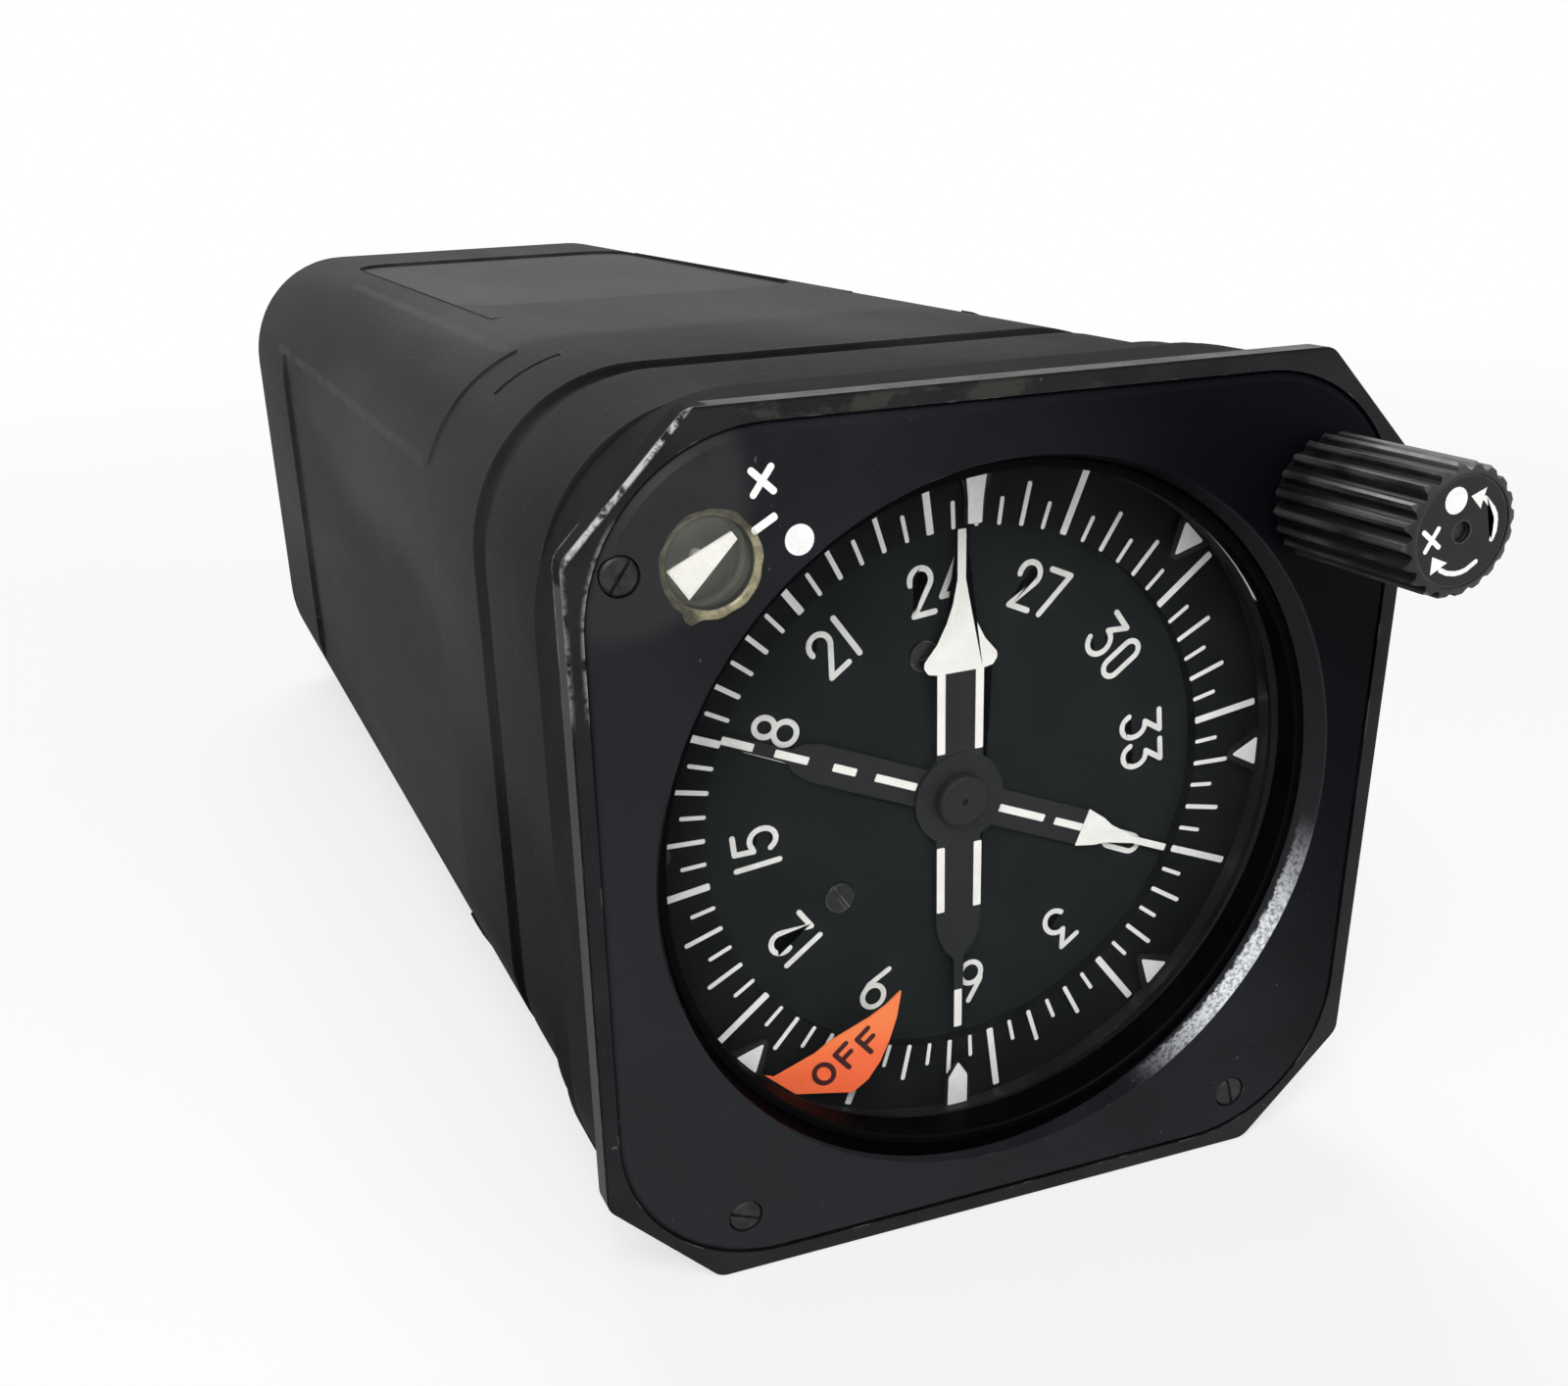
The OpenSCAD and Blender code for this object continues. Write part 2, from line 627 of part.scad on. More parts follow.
// Bush that carries the knob's shaft through the bezel
module knob_bush() color([0.3, 0.3, 0.3]) at(knob_at) difference() {
    rod(bush_r, 0.1, seat_depth);
    rod(knob_shaft_r + run_gap, -1, seat_depth + 1);
}

// Small meter movement behind the null indicator's window
module null_movement() color([0.7, 0.7, 0.68]) at(null_at) difference() {
    union() {
        rod(null_body_r, plate_t + seat_gap, null_step);
        rod(null_tail_r, null_step, null_body_end);
    }
    rod(window_r - 0.4, 0, plate_t + 0.9);
    rod(null_stem_r + run_gap, 0, plate_t + 4);
}

// Clear domed window over the null pointer
module null_window() color([0.9, 0.9, 0.85, 0.4]) at(null_at) difference() {
    union() {
        rod(window_r, 0, plate_t);
        turned(-dome_h) intersection() {
            translate([0, dome_r]) circle(dome_r);
            square([window_r, dome_h]);
        }
    }
    rod(window_r - 0.4, 0.35, plate_t + 1);
}
dome_r = (window_r * window_r + dome_h * dome_h) / (2 * dome_h);

// White wedge under the window
module null_pointer() color([0.9, 0.9, 0.88]) at(null_at) {
    along(null_pointer_y, null_pointer_y + 0.3) rotate(-54.5)
        polygon([[-1.55, -3.05], [1.55, -3.05], [0.4, 3.1], [-0.4, 3.1]]);
    rod(null_stem_r, null_pointer_y + 0.2, plate_t + 3.6);
}

module left_board() color([0.1, 0.3, 0.15]) board(-1);
module right_board() color([0.1, 0.3, 0.15]) board(1);
// A circuit board on the frame's side with its larger parts on the inner face
module board(side) {
    translate([side * board_x - board_t / 2, board_start - seat_depth, -board_half])
        cube([board_t, board_end - board_start + 1, 2 * board_half]);
    inner = side * (board_x - board_t / 2);
    for (i = [0:3]) translate([inner, board_start + 14 + 28 * i - seat_depth, 12])
        rotate([0, -side * 90, 0]) cylinder(r = 5, h = 9);
    for (i = [0:4]) translate([inner - (side > 0 ? 6 : 0), board_start + 8 + 24 * i - seat_depth, -18])
        cube([6, 10, 16]);
}

core_w = 26;
core_l = 34;
core_start = rear_frame_y - core_l - 24;
module power_transformer() color([0.35, 0.33, 0.3])
    translate([-core_w / 2, core_start - seat_depth, can_inner_half - core_w - 8]) {
        cube([core_w, core_l, core_w]);
        translate([0, core_l, 0]) cube([core_w, rear_frame_y - core_start - core_l, 3]);
    }

// Compass card: a dish whose outer ring carries the degree strokes
module compass_card() color([0.1, 0.11, 0.11]) difference() {
    rod(card_r, card_depth, card_back);
    rod(disc_r, card_depth - 1, disc_face + disc_t);
    rod(card_sleeve_r - 0.5, card_depth - 1, card_back + 1);
}
// The disc that carries the numbers, sunk in the card
module number_disc() color([0.12, 0.13, 0.13]) difference() {
    rod(disc_r - seat_gap, disc_face, disc_face + disc_t);
    rod(card_sleeve_r - 0.5, card_depth - 1, card_back + 1);
}
card_screw_bearings = [235.7, 345.5, 110.6];
card_screw_h = 0.25;
module card_screws() color([0.12, 0.12, 0.12]) for (b = card_screw_bearings)
    at(bearing(card_screw_pcr, b)) difference() {
        rod(card_screw_r, disc_face - card_screw_h, disc_face);
        rotate([0, b, 0]) translate([-2 * card_screw_r, disc_face - seat_depth - card_screw_h - 1, -0.2])
            cube([4 * card_screw_r, 1.1, 0.4]);
    }

// Hollow shaft of the card, with its flange and a clip behind the frame
module card_sleeve() color([0.75, 0.75, 0.76]) difference() {
    union() {
        rod(card_screw_pcr + 2.5, card_back, card_back + hub_flange_t);
        rod(card_sleeve_r, card_back, frame_back + 0.2 + clip_t);
        rod(card_sleeve_r + 1.2, frame_back + 0.2, frame_back + 0.2 + clip_t);
    }
    rod(card_bore_r, card_back - 1, frame_back + 3);
}

module card_gear() color([0.8, 0.7, 0.4]) difference() {
    along(gear_y, gear_y + gear_w) polygon(gear_points(card_teeth, 0));
    rod(card_sleeve_r + fit_gap, gear_y - 1, gear_y + gear_w + 1);
    for (i = [0:5]) at(polar(14, 60 * i + 30)) rod(4.5, gear_y - 1, gear_y + gear_w + 1);
}

// Outline of the front pointer, pointing up
module front_outline() {
    polygon([[-0.5, front_reach], [0.5, front_reach], [0.6, 23.5], [1.1, 21], [2.05, 17.8],
        [3.3, 15.2], [front_head, 13.8], [front_head - 0.5, 12.9], [front_bar, 12.6],
        [front_bar, -12], [1.9, -14.5], [1, -16.5], [1, -front_tail], [-1, -front_tail],
        [-1, -16.5], [-1.9, -14.5], [-front_bar, -12], [-front_bar, 12.6],
        [0.5 - front_head, 12.9], [-front_head, 13.8], [-3.3, 15.2], [-2.05, 17.8],
        [-1.1, 21], [-0.6, 23.5]]);
}
module front_pointer() color([0.2, 0.2, 0.2]) difference() {
    union() {
        along(front_pointer_y, front_pointer_y + pointer_t) rotate(-front_bearing)
            front_outline();
        rod(boss_r, front_pointer_y - boss_rise, front_pointer_y + pointer_t);
    }
    rod(shaft_r, front_pointer_y - 1, front_pointer_y + 1);
}
module pointer_shaft() color([0.8, 0.8, 0.8])
    rod(shaft_r, front_pointer_y - boss_rise, middle_back + 6);
module hub_cap() color([0.2, 0.2, 0.2]) difference() {
    rod(hub_r, cap_front, front_pointer_y - boss_rise);
    rod(0.4, cap_front - 1, cap_front + 0.2);
}

// Outline of the rear pointer, pointing up
module rear_outline() {
    polygon([[-0.5, rear_reach], [0.5, rear_reach], [0.55, 20], [rear_bar, 15],
        [rear_bar, -16.5], [1.3, -18], [0.6, -18.6], [0.6, -rear_tail], [-0.6, -rear_tail],
        [-0.6, -18.6], [-1.3, -18], [-rear_bar, -16.5], [-rear_bar, 15], [-0.55, 20]]);
}
module rear_pointer() color([0.2, 0.2, 0.2]) difference() {
    union() {
        along(rear_pointer_y, rear_pointer_y + pointer_t) rotate(-rear_bearing)
            rear_outline();
        rod(boss_r, rear_pointer_y - boss_rise, rear_pointer_y + pointer_t);
    }
    rod(rear_bore_r + 0.3, rear_pointer_y - 1, rear_pointer_y + 1);
}
module pointer_sleeve() color([0.8, 0.8, 0.8]) difference() {
    rod(rear_sleeve_r, rear_pointer_y + pointer_t, sleeve_gear_y + gear_w + 0.8);
    rod(rear_bore_r, rear_pointer_y, sleeve_gear_y + gear_w + 2);
}
module sleeve_gear() color([0.8, 0.7, 0.4]) difference() {
    along(sleeve_gear_y, sleeve_gear_y + gear_w) polygon(gear_points(sleeve_teeth, 0));
    rod(rear_sleeve_r + fit_gap, sleeve_gear_y - 1, sleeve_gear_y + gear_w + 1);
}

// Gears that follow the card and the rear pointer, each on its own short shaft
module follower(n, driver, at_angle, a, shaft_end) {
    along(a, a + gear_w) polygon(gear_points(n, mesh_angle(driver, n, at_angle)));
    rod(drive_shaft_r, a + gear_w, shaft_end);
}
module servo_pinion() color([0.8, 0.7, 0.4]) at(motor_at)
    follower(pinion_teeth, card_teeth, motor_angle, gear_y, frame_back + 6);
module heading_gear() color([0.8, 0.7, 0.4]) at(heading_at)
    follower(heading_teeth, card_teeth, heading_angle, gear_y, frame_back + 6);
module synchro_gear() color([0.8, 0.7, 0.4]) at(synchro_at)
    follower(sleeve_teeth, sleeve_teeth, synchro_angle, sleeve_gear_y, middle_back + 6);

// Fluted setting knob
function flute_r(a) = knob_r - flute_depth * (0.5 + 0.5 * cos(a * flutes));
knob_core_r = knob_r - flute_depth - 0.1;
module knob() color([0.15, 0.15, 0.16]) at(knob_at) difference() {
    union() {
        intersection() {
            along(-knob_l, -1.2) polygon([for (i = [0:flutes * 6 - 1])
                let (a = i * 60 / flutes) polar(flute_r(a), a)]);
            turned(-knob_l) polygon([[0, 0], [knob_r - 0.8, 0], [knob_r - 0.25, 0.2],
                [knob_r + 0.05, 0.8], [knob_r + 0.05, knob_l], [0, knob_l]]);
        }
        rod(knob_core_r - 0.2, -1.4, -face_gap);
    }
    rod(knob_shaft_r, 8 - knob_l, 1);
    rod(knob_cap_r + 0.05, -knob_l - 1, knob_cap_t + 0.1 - knob_l);
}
knob_cap_r = knob_core_r - 0.3;
knob_cap_t = 0.5;
module knob_cap() color([0.25, 0.25, 0.25]) at(knob_at) difference() {
    rod(knob_cap_r, 0.1 - knob_l, knob_cap_t + 0.1 - knob_l);
    rod(0.9, -knob_l, 1 - knob_l);
}
module knob_shaft() color([0.7, 0.7, 0.7]) at(knob_at)
    rod(knob_shaft_r, 8 - knob_l, frame_back + 8);

// Warning flag on an arm that swings in from the lower left corner
module off_flag() color([0.9, 0.45, 0.15]) {
    difference() {
        union() {
            along(flag_y, flag_y + flag_t) polygon(flag_points);
            at(flag_at) rod(1.8, flag_y, flag_y + flag_t + 0.1);
        }
        at(flag_at) rod(flag_shaft_r, flag_y - 1, flag_y + 1);
    }
}
module flag_shaft() color([0.7, 0.7, 0.7]) at(flag_at) rod(flag_shaft_r, flag_y, frame_back + 7);

bezel_casting();
front_plate();
plate_screws();
cover_glass();
glass_gasket();
index_ring();
mounting_collar();
case_can();
case_screws();
receptacle_shell();
receptacle_insert();
receptacle_screws();
front_frame();
middle_frame();
rear_frame();
frame_pillars();
front_posts();
servo_motor();
heading_transmitter();
axis_synchro();
offset_synchro();
flag_actuator();
knob_transmitter();
knob_bush();
null_movement();
null_window();
left_board();
right_board();
power_transformer();
compass_card();
number_disc();
card_screws();
card_sleeve();
card_gear();
front_pointer();
pointer_shaft();
hub_cap();
rear_pointer();
pointer_sleeve();
sleeve_gear();
servo_pinion();
heading_gear();
synchro_gear();
knob();
knob_cap();
knob_shaft();
off_flag();
flag_shaft();
null_pointer();
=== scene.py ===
import math

import bmesh
import bpy
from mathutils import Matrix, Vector


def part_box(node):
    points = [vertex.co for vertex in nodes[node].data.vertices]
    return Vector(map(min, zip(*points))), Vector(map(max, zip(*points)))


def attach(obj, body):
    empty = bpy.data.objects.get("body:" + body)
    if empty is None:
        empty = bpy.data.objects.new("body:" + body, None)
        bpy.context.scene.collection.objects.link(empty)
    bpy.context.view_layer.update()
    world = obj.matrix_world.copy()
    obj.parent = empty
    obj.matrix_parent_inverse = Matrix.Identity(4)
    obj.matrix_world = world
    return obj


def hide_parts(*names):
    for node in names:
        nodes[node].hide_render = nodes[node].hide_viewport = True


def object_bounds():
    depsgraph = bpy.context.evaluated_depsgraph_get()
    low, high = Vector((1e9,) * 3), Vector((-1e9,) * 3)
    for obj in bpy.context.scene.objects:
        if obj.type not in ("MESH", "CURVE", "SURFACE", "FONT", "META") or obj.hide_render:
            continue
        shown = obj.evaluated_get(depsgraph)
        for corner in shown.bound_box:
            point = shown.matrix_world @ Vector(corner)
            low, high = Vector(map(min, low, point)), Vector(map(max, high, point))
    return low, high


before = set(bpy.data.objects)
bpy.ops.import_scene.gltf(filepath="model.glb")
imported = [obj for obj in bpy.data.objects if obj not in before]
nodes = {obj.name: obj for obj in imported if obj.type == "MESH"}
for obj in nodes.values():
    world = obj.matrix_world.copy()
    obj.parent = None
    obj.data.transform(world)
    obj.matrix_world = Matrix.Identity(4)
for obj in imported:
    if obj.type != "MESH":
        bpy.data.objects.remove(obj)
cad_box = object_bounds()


# The viewpoint
# A camera close in front of the dial, to its left and above it, turned a little
# so that the bezel leans as it does in a hand-held picture.
def add(name, data):
    """Puts a new object into the scene."""
    piece = bpy.data.objects.new(name, data)
    bpy.context.scene.collection.objects.link(piece)
    return piece


lens = bpy.data.cameras.new("viewpoint")
lens.sensor_width, lens.lens = 36, 38.086
lens.shift_x, lens.shift_y = 0.0438, 0.1206
lens.clip_start, lens.clip_end = 0.005, 20
viewpoint = add("viewpoint", lens)
viewpoint.location = (-0.07426, -0.13458, 0.06158)
viewpoint.rotation_euler = [math.radians(a) for a in (65.28, 1.983, -20.757)]
bpy.context.scene.camera = viewpoint


# The case
# A deep-drawn aluminium can under matt dark grey paint, pushed over the movement
# from behind. Handling has left it dusty along its edges and lighter on its panel.
class Tree:
    """Lays out the nodes of one tree; an input goes by its name, or by its place as i0, i1."""

    def __init__(self, tree):
        self.tree = tree

    def node(self, kind, settings=None, **inputs):
        made = self.tree.nodes.new(kind)
        for key, value in (settings or {}).items():
            setattr(made, key, value)
        for key, value in inputs.items():
            place = int(key[1:]) if key[0] == "i" and key[1:].isdigit() else key.replace("_", " ")
            for one in value if isinstance(value, list) else [value]:
                self.give(made.inputs[place], one)
        return made

    def give(self, socket, value):
        if isinstance(value, bpy.types.NodeSocket):
            self.tree.links.new(value, socket)
        elif socket.type == "RGBA" and len(value) == 3:
            socket.default_value = (*value, 1)
        else:
            socket.default_value = value

    def out(self, kind, settings=None, **inputs):
        """The first output of a new node."""
        return self.node(kind, settings, **inputs).outputs[0]

    def math(self, kind, first, *more):
        """One number out of several, taken in turn."""
        for other in more:
            first = self.out("ShaderNodeMath", {"operation": kind}, i0=first, i1=other)
        return first

    def times(self, *numbers):
        return self.math("MULTIPLY", *numbers)


class Finish(Tree):
    """A painted or bare surface, with its patterns placed by the piece's own coordinates."""

    def __init__(self, name, rough=0.5, metal=0.0, gloss=0.5):
        self.material = bpy.data.materials.new(name)
        self.material.use_nodes = True
        super().__init__(self.material.node_tree)
        self.shader = self.tree.nodes["Principled BSDF"]
        for label, value in (("Roughness", rough), ("Metallic", metal), ("Specular IOR Level", gloss)):
            self.set(label, value)
        self.place = self.node("ShaderNodeTexCoord").outputs["Object"]
        self.part = {}

    def set(self, label, value):
        self.give(self.shader.inputs[label], value)

    def so_far(self, label):
        return self.shader.inputs[label].links[0].from_socket

    def over(self, amount, colour):
        """Lays a colour over those the surface has, as thickly as amount says."""
        self.set("Base Color", self.mix(amount, self.so_far("Base Color"), colour))

    def axis(self, letter):
        if not self.part:
            split = self.node("ShaderNodeSeparateXYZ", i0=self.place)
            self.part = dict(zip("xyz", split.outputs))
        return self.part[letter]

    def vector(self, kind, output="Value", **inputs):
        return self.node("ShaderNodeVectorMath", {"operation": kind}, **inputs).outputs[output]

    def off_axis(self, x=0, z=0):
        """The distance, in metres, from an axis that runs along y."""
        flat = self.vector("MULTIPLY_ADD", "Vector", i0=self.place, i1=(1, 0, 1), i2=(-x, 0, -z))
        return self.vector("LENGTH", i0=flat)

    def clouds(self, size, detail=3.0, stretch=(1, 1, 1), shift=(0, 0, 0), rough=0.5):
        """Soft patches about size millimetres across."""
        laid = self.out("ShaderNodeMapping", Vector=self.place, Location=shift, Scale=stretch)
        return self.node("ShaderNodeTexNoise", Vector=laid, Scale=1000 / size, Detail=detail,
                         Roughness=rough).outputs["Fac"]

    def ramp(self, value, low, high, to_low=0.0, to_high=1.0):
        return self.out("ShaderNodeMapRange", {"interpolation_type": "SMOOTHSTEP"}, Value=value,
                        From_Min=low, From_Max=high, To_Min=to_low, To_Max=to_high)

    def mix(self, amount, a, b):
        made = self.tree.nodes.new("ShaderNodeMix")
        made.data_type = "RGBA"
        for socket, value in ((made.inputs[0], amount), (made.inputs[6], a), (made.inputs[7], b)):
            self.give(socket, value)
        return made.outputs[2]

    def edges(self, width, low=0.02, high=0.3):
        """1 along the edges of the piece, within about width millimetres, 0 on its faces."""
        softened = self.out("ShaderNodeBevel", {"samples": 6}, Radius=width / 1000)
        true = self.node("ShaderNodeNewGeometry").outputs["True Normal"]
        alike = self.vector("DOT_PRODUCT", i0=softened, i1=true)
        return self.ramp(self.math("SUBTRACT", 1.0, alike), low, high)

    def near(self, centre, radius, soft):
        """1 within radius millimetres of a point, fading to 0 over soft millimetres more."""
        far = self.vector("DISTANCE", i0=self.place, i1=tuple(c / 1000 for c in centre))
        return self.ramp(far, radius / 1000, (radius + soft) / 1000, 1.0, 0.0)

    def past(self, letter, low, high, to_low=0.0, to_high=1.0):
        """Rises, or falls, between two coordinates in millimetres."""
        return self.ramp(self.axis(letter), low / 1000, high / 1000, to_low, to_high)

    def within(self, **spans):
        """1 between a low and a high millimetre on each axis named, fading over the third figure."""
        return self.times(*(
            self.times(self.past(letter, low - soft, low), self.past(letter, high, high + soft, 1, 0))
            for letter, (low, high, soft) in spans.items()))

    def relief(self, height, depth):
        """Raises the surface by height times depth millimetres."""
        self.set("Normal", self.out("ShaderNodeBump", Height=height, Distance=depth / 1000))


def wear_finish(name, dark, light, rough, patch=9.0, grain=0.35, relief=0.012, metal=0.0, gloss=0.5,
                stretch=(1, 1, 1), worn=None, worn_width=0.3, worn_share=0.5, spots=None):
    """Two tones in soft patches, a fine grain, and bare edges where worn gives their colour."""
    f = Finish(name, metal=metal, gloss=gloss)
    patches = f.clouds(patch, 4.0, stretch)
    fine = f.clouds(grain, 2.0, shift=(3, 1, 2))
    f.set("Base Color", f.mix(f.ramp(patches, 0.32, 0.68), dark, light))
    f.over(f.ramp(fine, 0.35, 0.75, 0.0, 0.35), tuple(c * 1.35 for c in light))
    if spots:
        size, start, colour = spots
        f.over(f.ramp(f.clouds(size, 1.0, shift=(7, 4, 9)), start, start + 0.03), colour)
    if worn:
        start = 0.72 - worn_share * 0.5
        patchy = f.ramp(f.clouds(2.6, 5.0, shift=(5, 2, 6)), start, start + 0.08)
        f.over(f.times(f.edges(worn_width), patchy), worn)
    f.set("Roughness", f.ramp(f.math("ADD", f.times(patches, 0.6), f.times(fine, 0.4)), 0.3, 0.7, *rough))
    f.relief(fine, relief)
    return f


def dress(finish, *names):
    """Gives CAD pieces their finish."""
    for name in names:
        nodes[name].data.materials.clear()
        nodes[name].data.materials.append(finish.material)


case = wear_finish(
    "case_paint", (0.0075, 0.0078, 0.0086), (0.018, 0.0188, 0.0200), (0.6, 0.75), patch=22, grain=0.5,
    relief=0.02, stretch=(1, 0.35, 1), gloss=0.06, spots=(1.3, 0.75, (0.05, 0.05, 0.05)))
dust = case.ramp(case.clouds(34, 5.0, (1, 0.22, 1), (1, 6, 2)), 0.42, 0.66, 0.0, 0.75)
case.over(dust, (0.044, 0.045, 0.048))
dusty_edge = (0.075, 0.076, 0.08)
patchy = case.ramp(case.clouds(6, 4.0), 0.35, 0.6, 0.05, 0.35)
case.over(case.times(case.edges(0.9, 0.01, 0.2), patchy), dusty_edge)
beside = case.within(z=(27.4, 28.1, 0.5), y=(56, 176, 4), x=(-50, -38.6, 0.3))
above = case.within(x=(-28.9, -28.2, 0.6), y=(56, 150, 8), z=(38, 50, 0.5))
patchy = case.ramp(case.clouds(5, 4.0, shift=(1, 1, 5)), 0.25, 0.6, 0.10, 0.42)
case.over(case.times(case.math("ADD", beside, above), patchy), dusty_edge)
panel = case.within(z=(39.3, 39.62, 0.1), y=(92.5, 179.5, 0.4), x=(-24.3, 24.3, 0.3))
case.over(case.times(panel, 0.75), (0.062, 0.064, 0.068))
# Painted sheen: a lighter band on the top of the case, behind its front.
sheen = case.times(case.within(y=(58, 90, 8)), case.past("z", 37, 40, 0.0, 0.55))
case.over(sheen, (0.050, 0.052, 0.056))
# Painted shade: the case darker towards the front and towards the bottom, and less shiny there.
shade = case.math("ADD", case.past("y", 8, 62, 0.52, 0.0), case.past("z", -38, 12, 0.62, 0.0))
case.over(shade, (0.004, 0.004, 0.0045))
case.set("Specular IOR Level", case.ramp(shade, 0.0, 1.1, 0.055, 0.012))
dress(case, "mounting_collar")


def arc(x, z, rx, rz, start, end, steps=14):
    """Points on an arc; angles in degrees, counter-clockwise from the right."""
    return [(x + rx * math.cos(math.radians(start + (end - start) * k / steps)),
             z + rz * math.sin(math.radians(start + (end - start) * k / steps))) for k in range(steps + 1)]


def block(work, foot, head):
    """Adds to work a closed block between two like rings of points, in millimetres."""
    foot, head = ([work.verts.new([c / 1000 for c in point]) for point in ring] for ring in (foot, head))
    work.faces.new(foot[::-1])
    work.faces.new(head)
    for i in range(len(foot)):
        work.faces.new((foot[i - 1], foot[i], head[i], head[i - 1]))


def drawn(name, draw):
    """An object with the closed shapes that draw adds to it."""
    work = bmesh.new()
    draw(work)
    bmesh.ops.recalc_face_normals(work, faces=work.faces)
    mesh = bpy.data.meshes.new(name)
    work.to_mesh(mesh)
    work.free()
    return add(name, mesh)


def settled(piece):
    """Makes what a piece's modifiers show its plain mesh."""
    bpy.context.view_layer.update()
    mesh = bpy.data.meshes.new_from_object(piece.evaluated_get(bpy.context.evaluated_depsgraph_get()))
    piece.modifiers.clear()
    piece.data = mesh
    return mesh


def carved(name, node, finish, *changes):
    """A copy of a CAD piece with shapes joined to it or cut from it; it rides on the case."""
    piece = add(name, nodes[node].data.copy())
    tools = [drawn(draw.__name__, draw) for operation, draw in changes]
    for (operation, draw), tool in zip(changes, tools):
        step = piece.modifiers.new(tool.name, "BOOLEAN")
        step.operation, step.solver, step.object = operation, "EXACT", tool
    shaped = settled(piece)
    for tool in tools:
        bpy.data.objects.remove(tool)
    if "custom_normal" in shaped.attributes:
        shaped.attributes.remove(shaped.attributes["custom_normal"])
    shaped.shade_smooth()
    shaped.set_sharp_from_angle(angle=math.radians(28))
    shaped.materials.clear()
    shaped.materials.append(finish.material)
    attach(piece, "case")
    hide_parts(node)
    return piece


can_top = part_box("case_can")[1].z * 1000


def panel_fill(work):
    """Fills the recess of the CAD piece, which lies too far forward."""
    half, start, end = 24.6, 76.9, 169.1
    outline = [(half, start), (half, end), (-half, end), (-half, start)]
    block(work, *([(x, y, z) for x, y in outline] for z in (can_top - 1.2, can_top)))


def panel_cut(work):
    half, start, end, r = 24.5, 92, 180, 8
    outline = []
    for x, y, turned_by in ((half - r, end - r, 0), (r - half, end - r, 90), (r - half, start + r, 180),
                            (half - r, start + r, 270)):
        outline += arc(x, y, r, r, turned_by, turned_by + 90, 8)
    block(work, *([(x, y, z) for x, y in outline] for z in (can_top - 0.55, can_top + 2)))


case_shell = carved("case_shell", "case_can", case, ("UNION", panel_fill), ("DIFFERENCE", panel_cut))


# The bezel
# One casting: the eight-sided flange, the block behind it and the well round the
# dial. Satin black over a light alloy that shows where hands and panels have
# rubbed its edges, most of all on the upper left corner and along the top.
bezel = wear_finish(
    "bezel_black", (0.0050, 0.0053, 0.0062), (0.0120, 0.0125, 0.0140), (0.30, 0.48), patch=7, grain=0.3,
    relief=0.008, gloss=0.14, worn=(0.13, 0.127, 0.12), worn_width=0.3, worn_share=0.30,
    spots=(0.9, 0.77, (0.07, 0.068, 0.06)))
rubbed = bezel.times(bezel.within(z=(40.2, 42.0, 0.6), x=(-30, 4, 5)),
                     bezel.ramp(bezel.clouds(4.2, 5.0, (0.5, 1, 1), (2, 8, 3), 0.62), 0.50, 0.56))
bezel.over(bezel.times(rubbed, 0.8), (0.036, 0.033, 0.028))
behind = bezel.math("MAXIMUM", bezel.past("y", -8.1, -7.8),
                    bezel.times(bezel.near((-36.3, -9, 36.3), 9, 1), bezel.past("y", -10.45, -10.2)))
bezel.over(behind, bezel.mix(bezel.ramp(bezel.clouds(9, 4.0), 0.35, 0.65),
                             (0.0078, 0.0081, 0.0090), (0.0125, 0.0129, 0.0140)))
# Painted shade: the flange's left face and its top face painted darker.
shaded_flank = bezel.math("MAXIMUM", bezel.past("x", -41.3, -41.1, 1.0, 0.0), bezel.past("z", 41.0, 41.3, 0.0, 0.7))
bezel.over(bezel.times(shaded_flank, 0.7), (0.0022, 0.0022, 0.0026))
across = bezel.math("SUBTRACT", bezel.axis("z"), bezel.axis("x"))
corner = bezel.times(bezel.near((-36.2, -10.6, 36.2), 6.0, 4), bezel.times(
    bezel.ramp(across, 0.0711, 0.0715), bezel.past("y", -10.7, -10.3, 1.0, 0.0)))
side = bezel.times(bezel.near((-41.4, -10.6, 25.5), 6.5, 3),
                   bezel.times(bezel.edges(0.7, 0.004, 0.06), 0.30))
flaked = bezel.ramp(bezel.clouds(1.1, 6.0, rough=0.7), 0.40, 0.54)
bezel.over(bezel.times(bezel.math("MAXIMUM", corner, side), flaked), (0.60, 0.60, 0.59))
# Painted shade: the wall of the bore, behind the flange's front, painted near-black.
bore_shade = bezel.times(bezel.ramp(bezel.off_axis(), 0.0366, 0.0367, 1.0, 0.0), bezel.past("y", -8.8, -8.7))
bezel.over(bore_shade, (0.0006, 0.0006, 0.0010))
dull = bezel.math("MAXIMUM", behind, bore_shade, bezel.times(shaded_flank, 0.6))
bezel.set("Roughness", bezel.math("MAXIMUM", bezel.so_far("Roughness"), bezel.times(dull, 0.72)))
bezel.set("Specular IOR Level", bezel.ramp(dull, 0.0, 1.0, 0.14, 0.03))


def turn(points, bearing):
    """Points drawn upwards, turned clockwise to a compass bearing."""
    s, c = math.sin(math.radians(bearing)), math.cos(math.radians(bearing))
    return [(x * c + z * s, z * c - x * s) for x, z in points]


def corner_cut(work):
    """What is cut from the block's four corners, from just before the flange's back to behind the block."""
    reach, r, start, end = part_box("bezel_casting")[1].x * 1000 - 0.2, 19, -8.004, 0.6
    corner = [(reach + 3, reach + 3)] + arc(reach - r, reach - r, r + 0.001, r + 0.001, 90, 0, 15)
    for bearing in (0, 90, 180, 270):
        outline = turn(corner, bearing)
        block(work, *([(x, y, z) for x, z in outline] for y in (start, end)))


casting = carved("casting", "bezel_casting", bezel, ("DIFFERENCE", corner_cut))
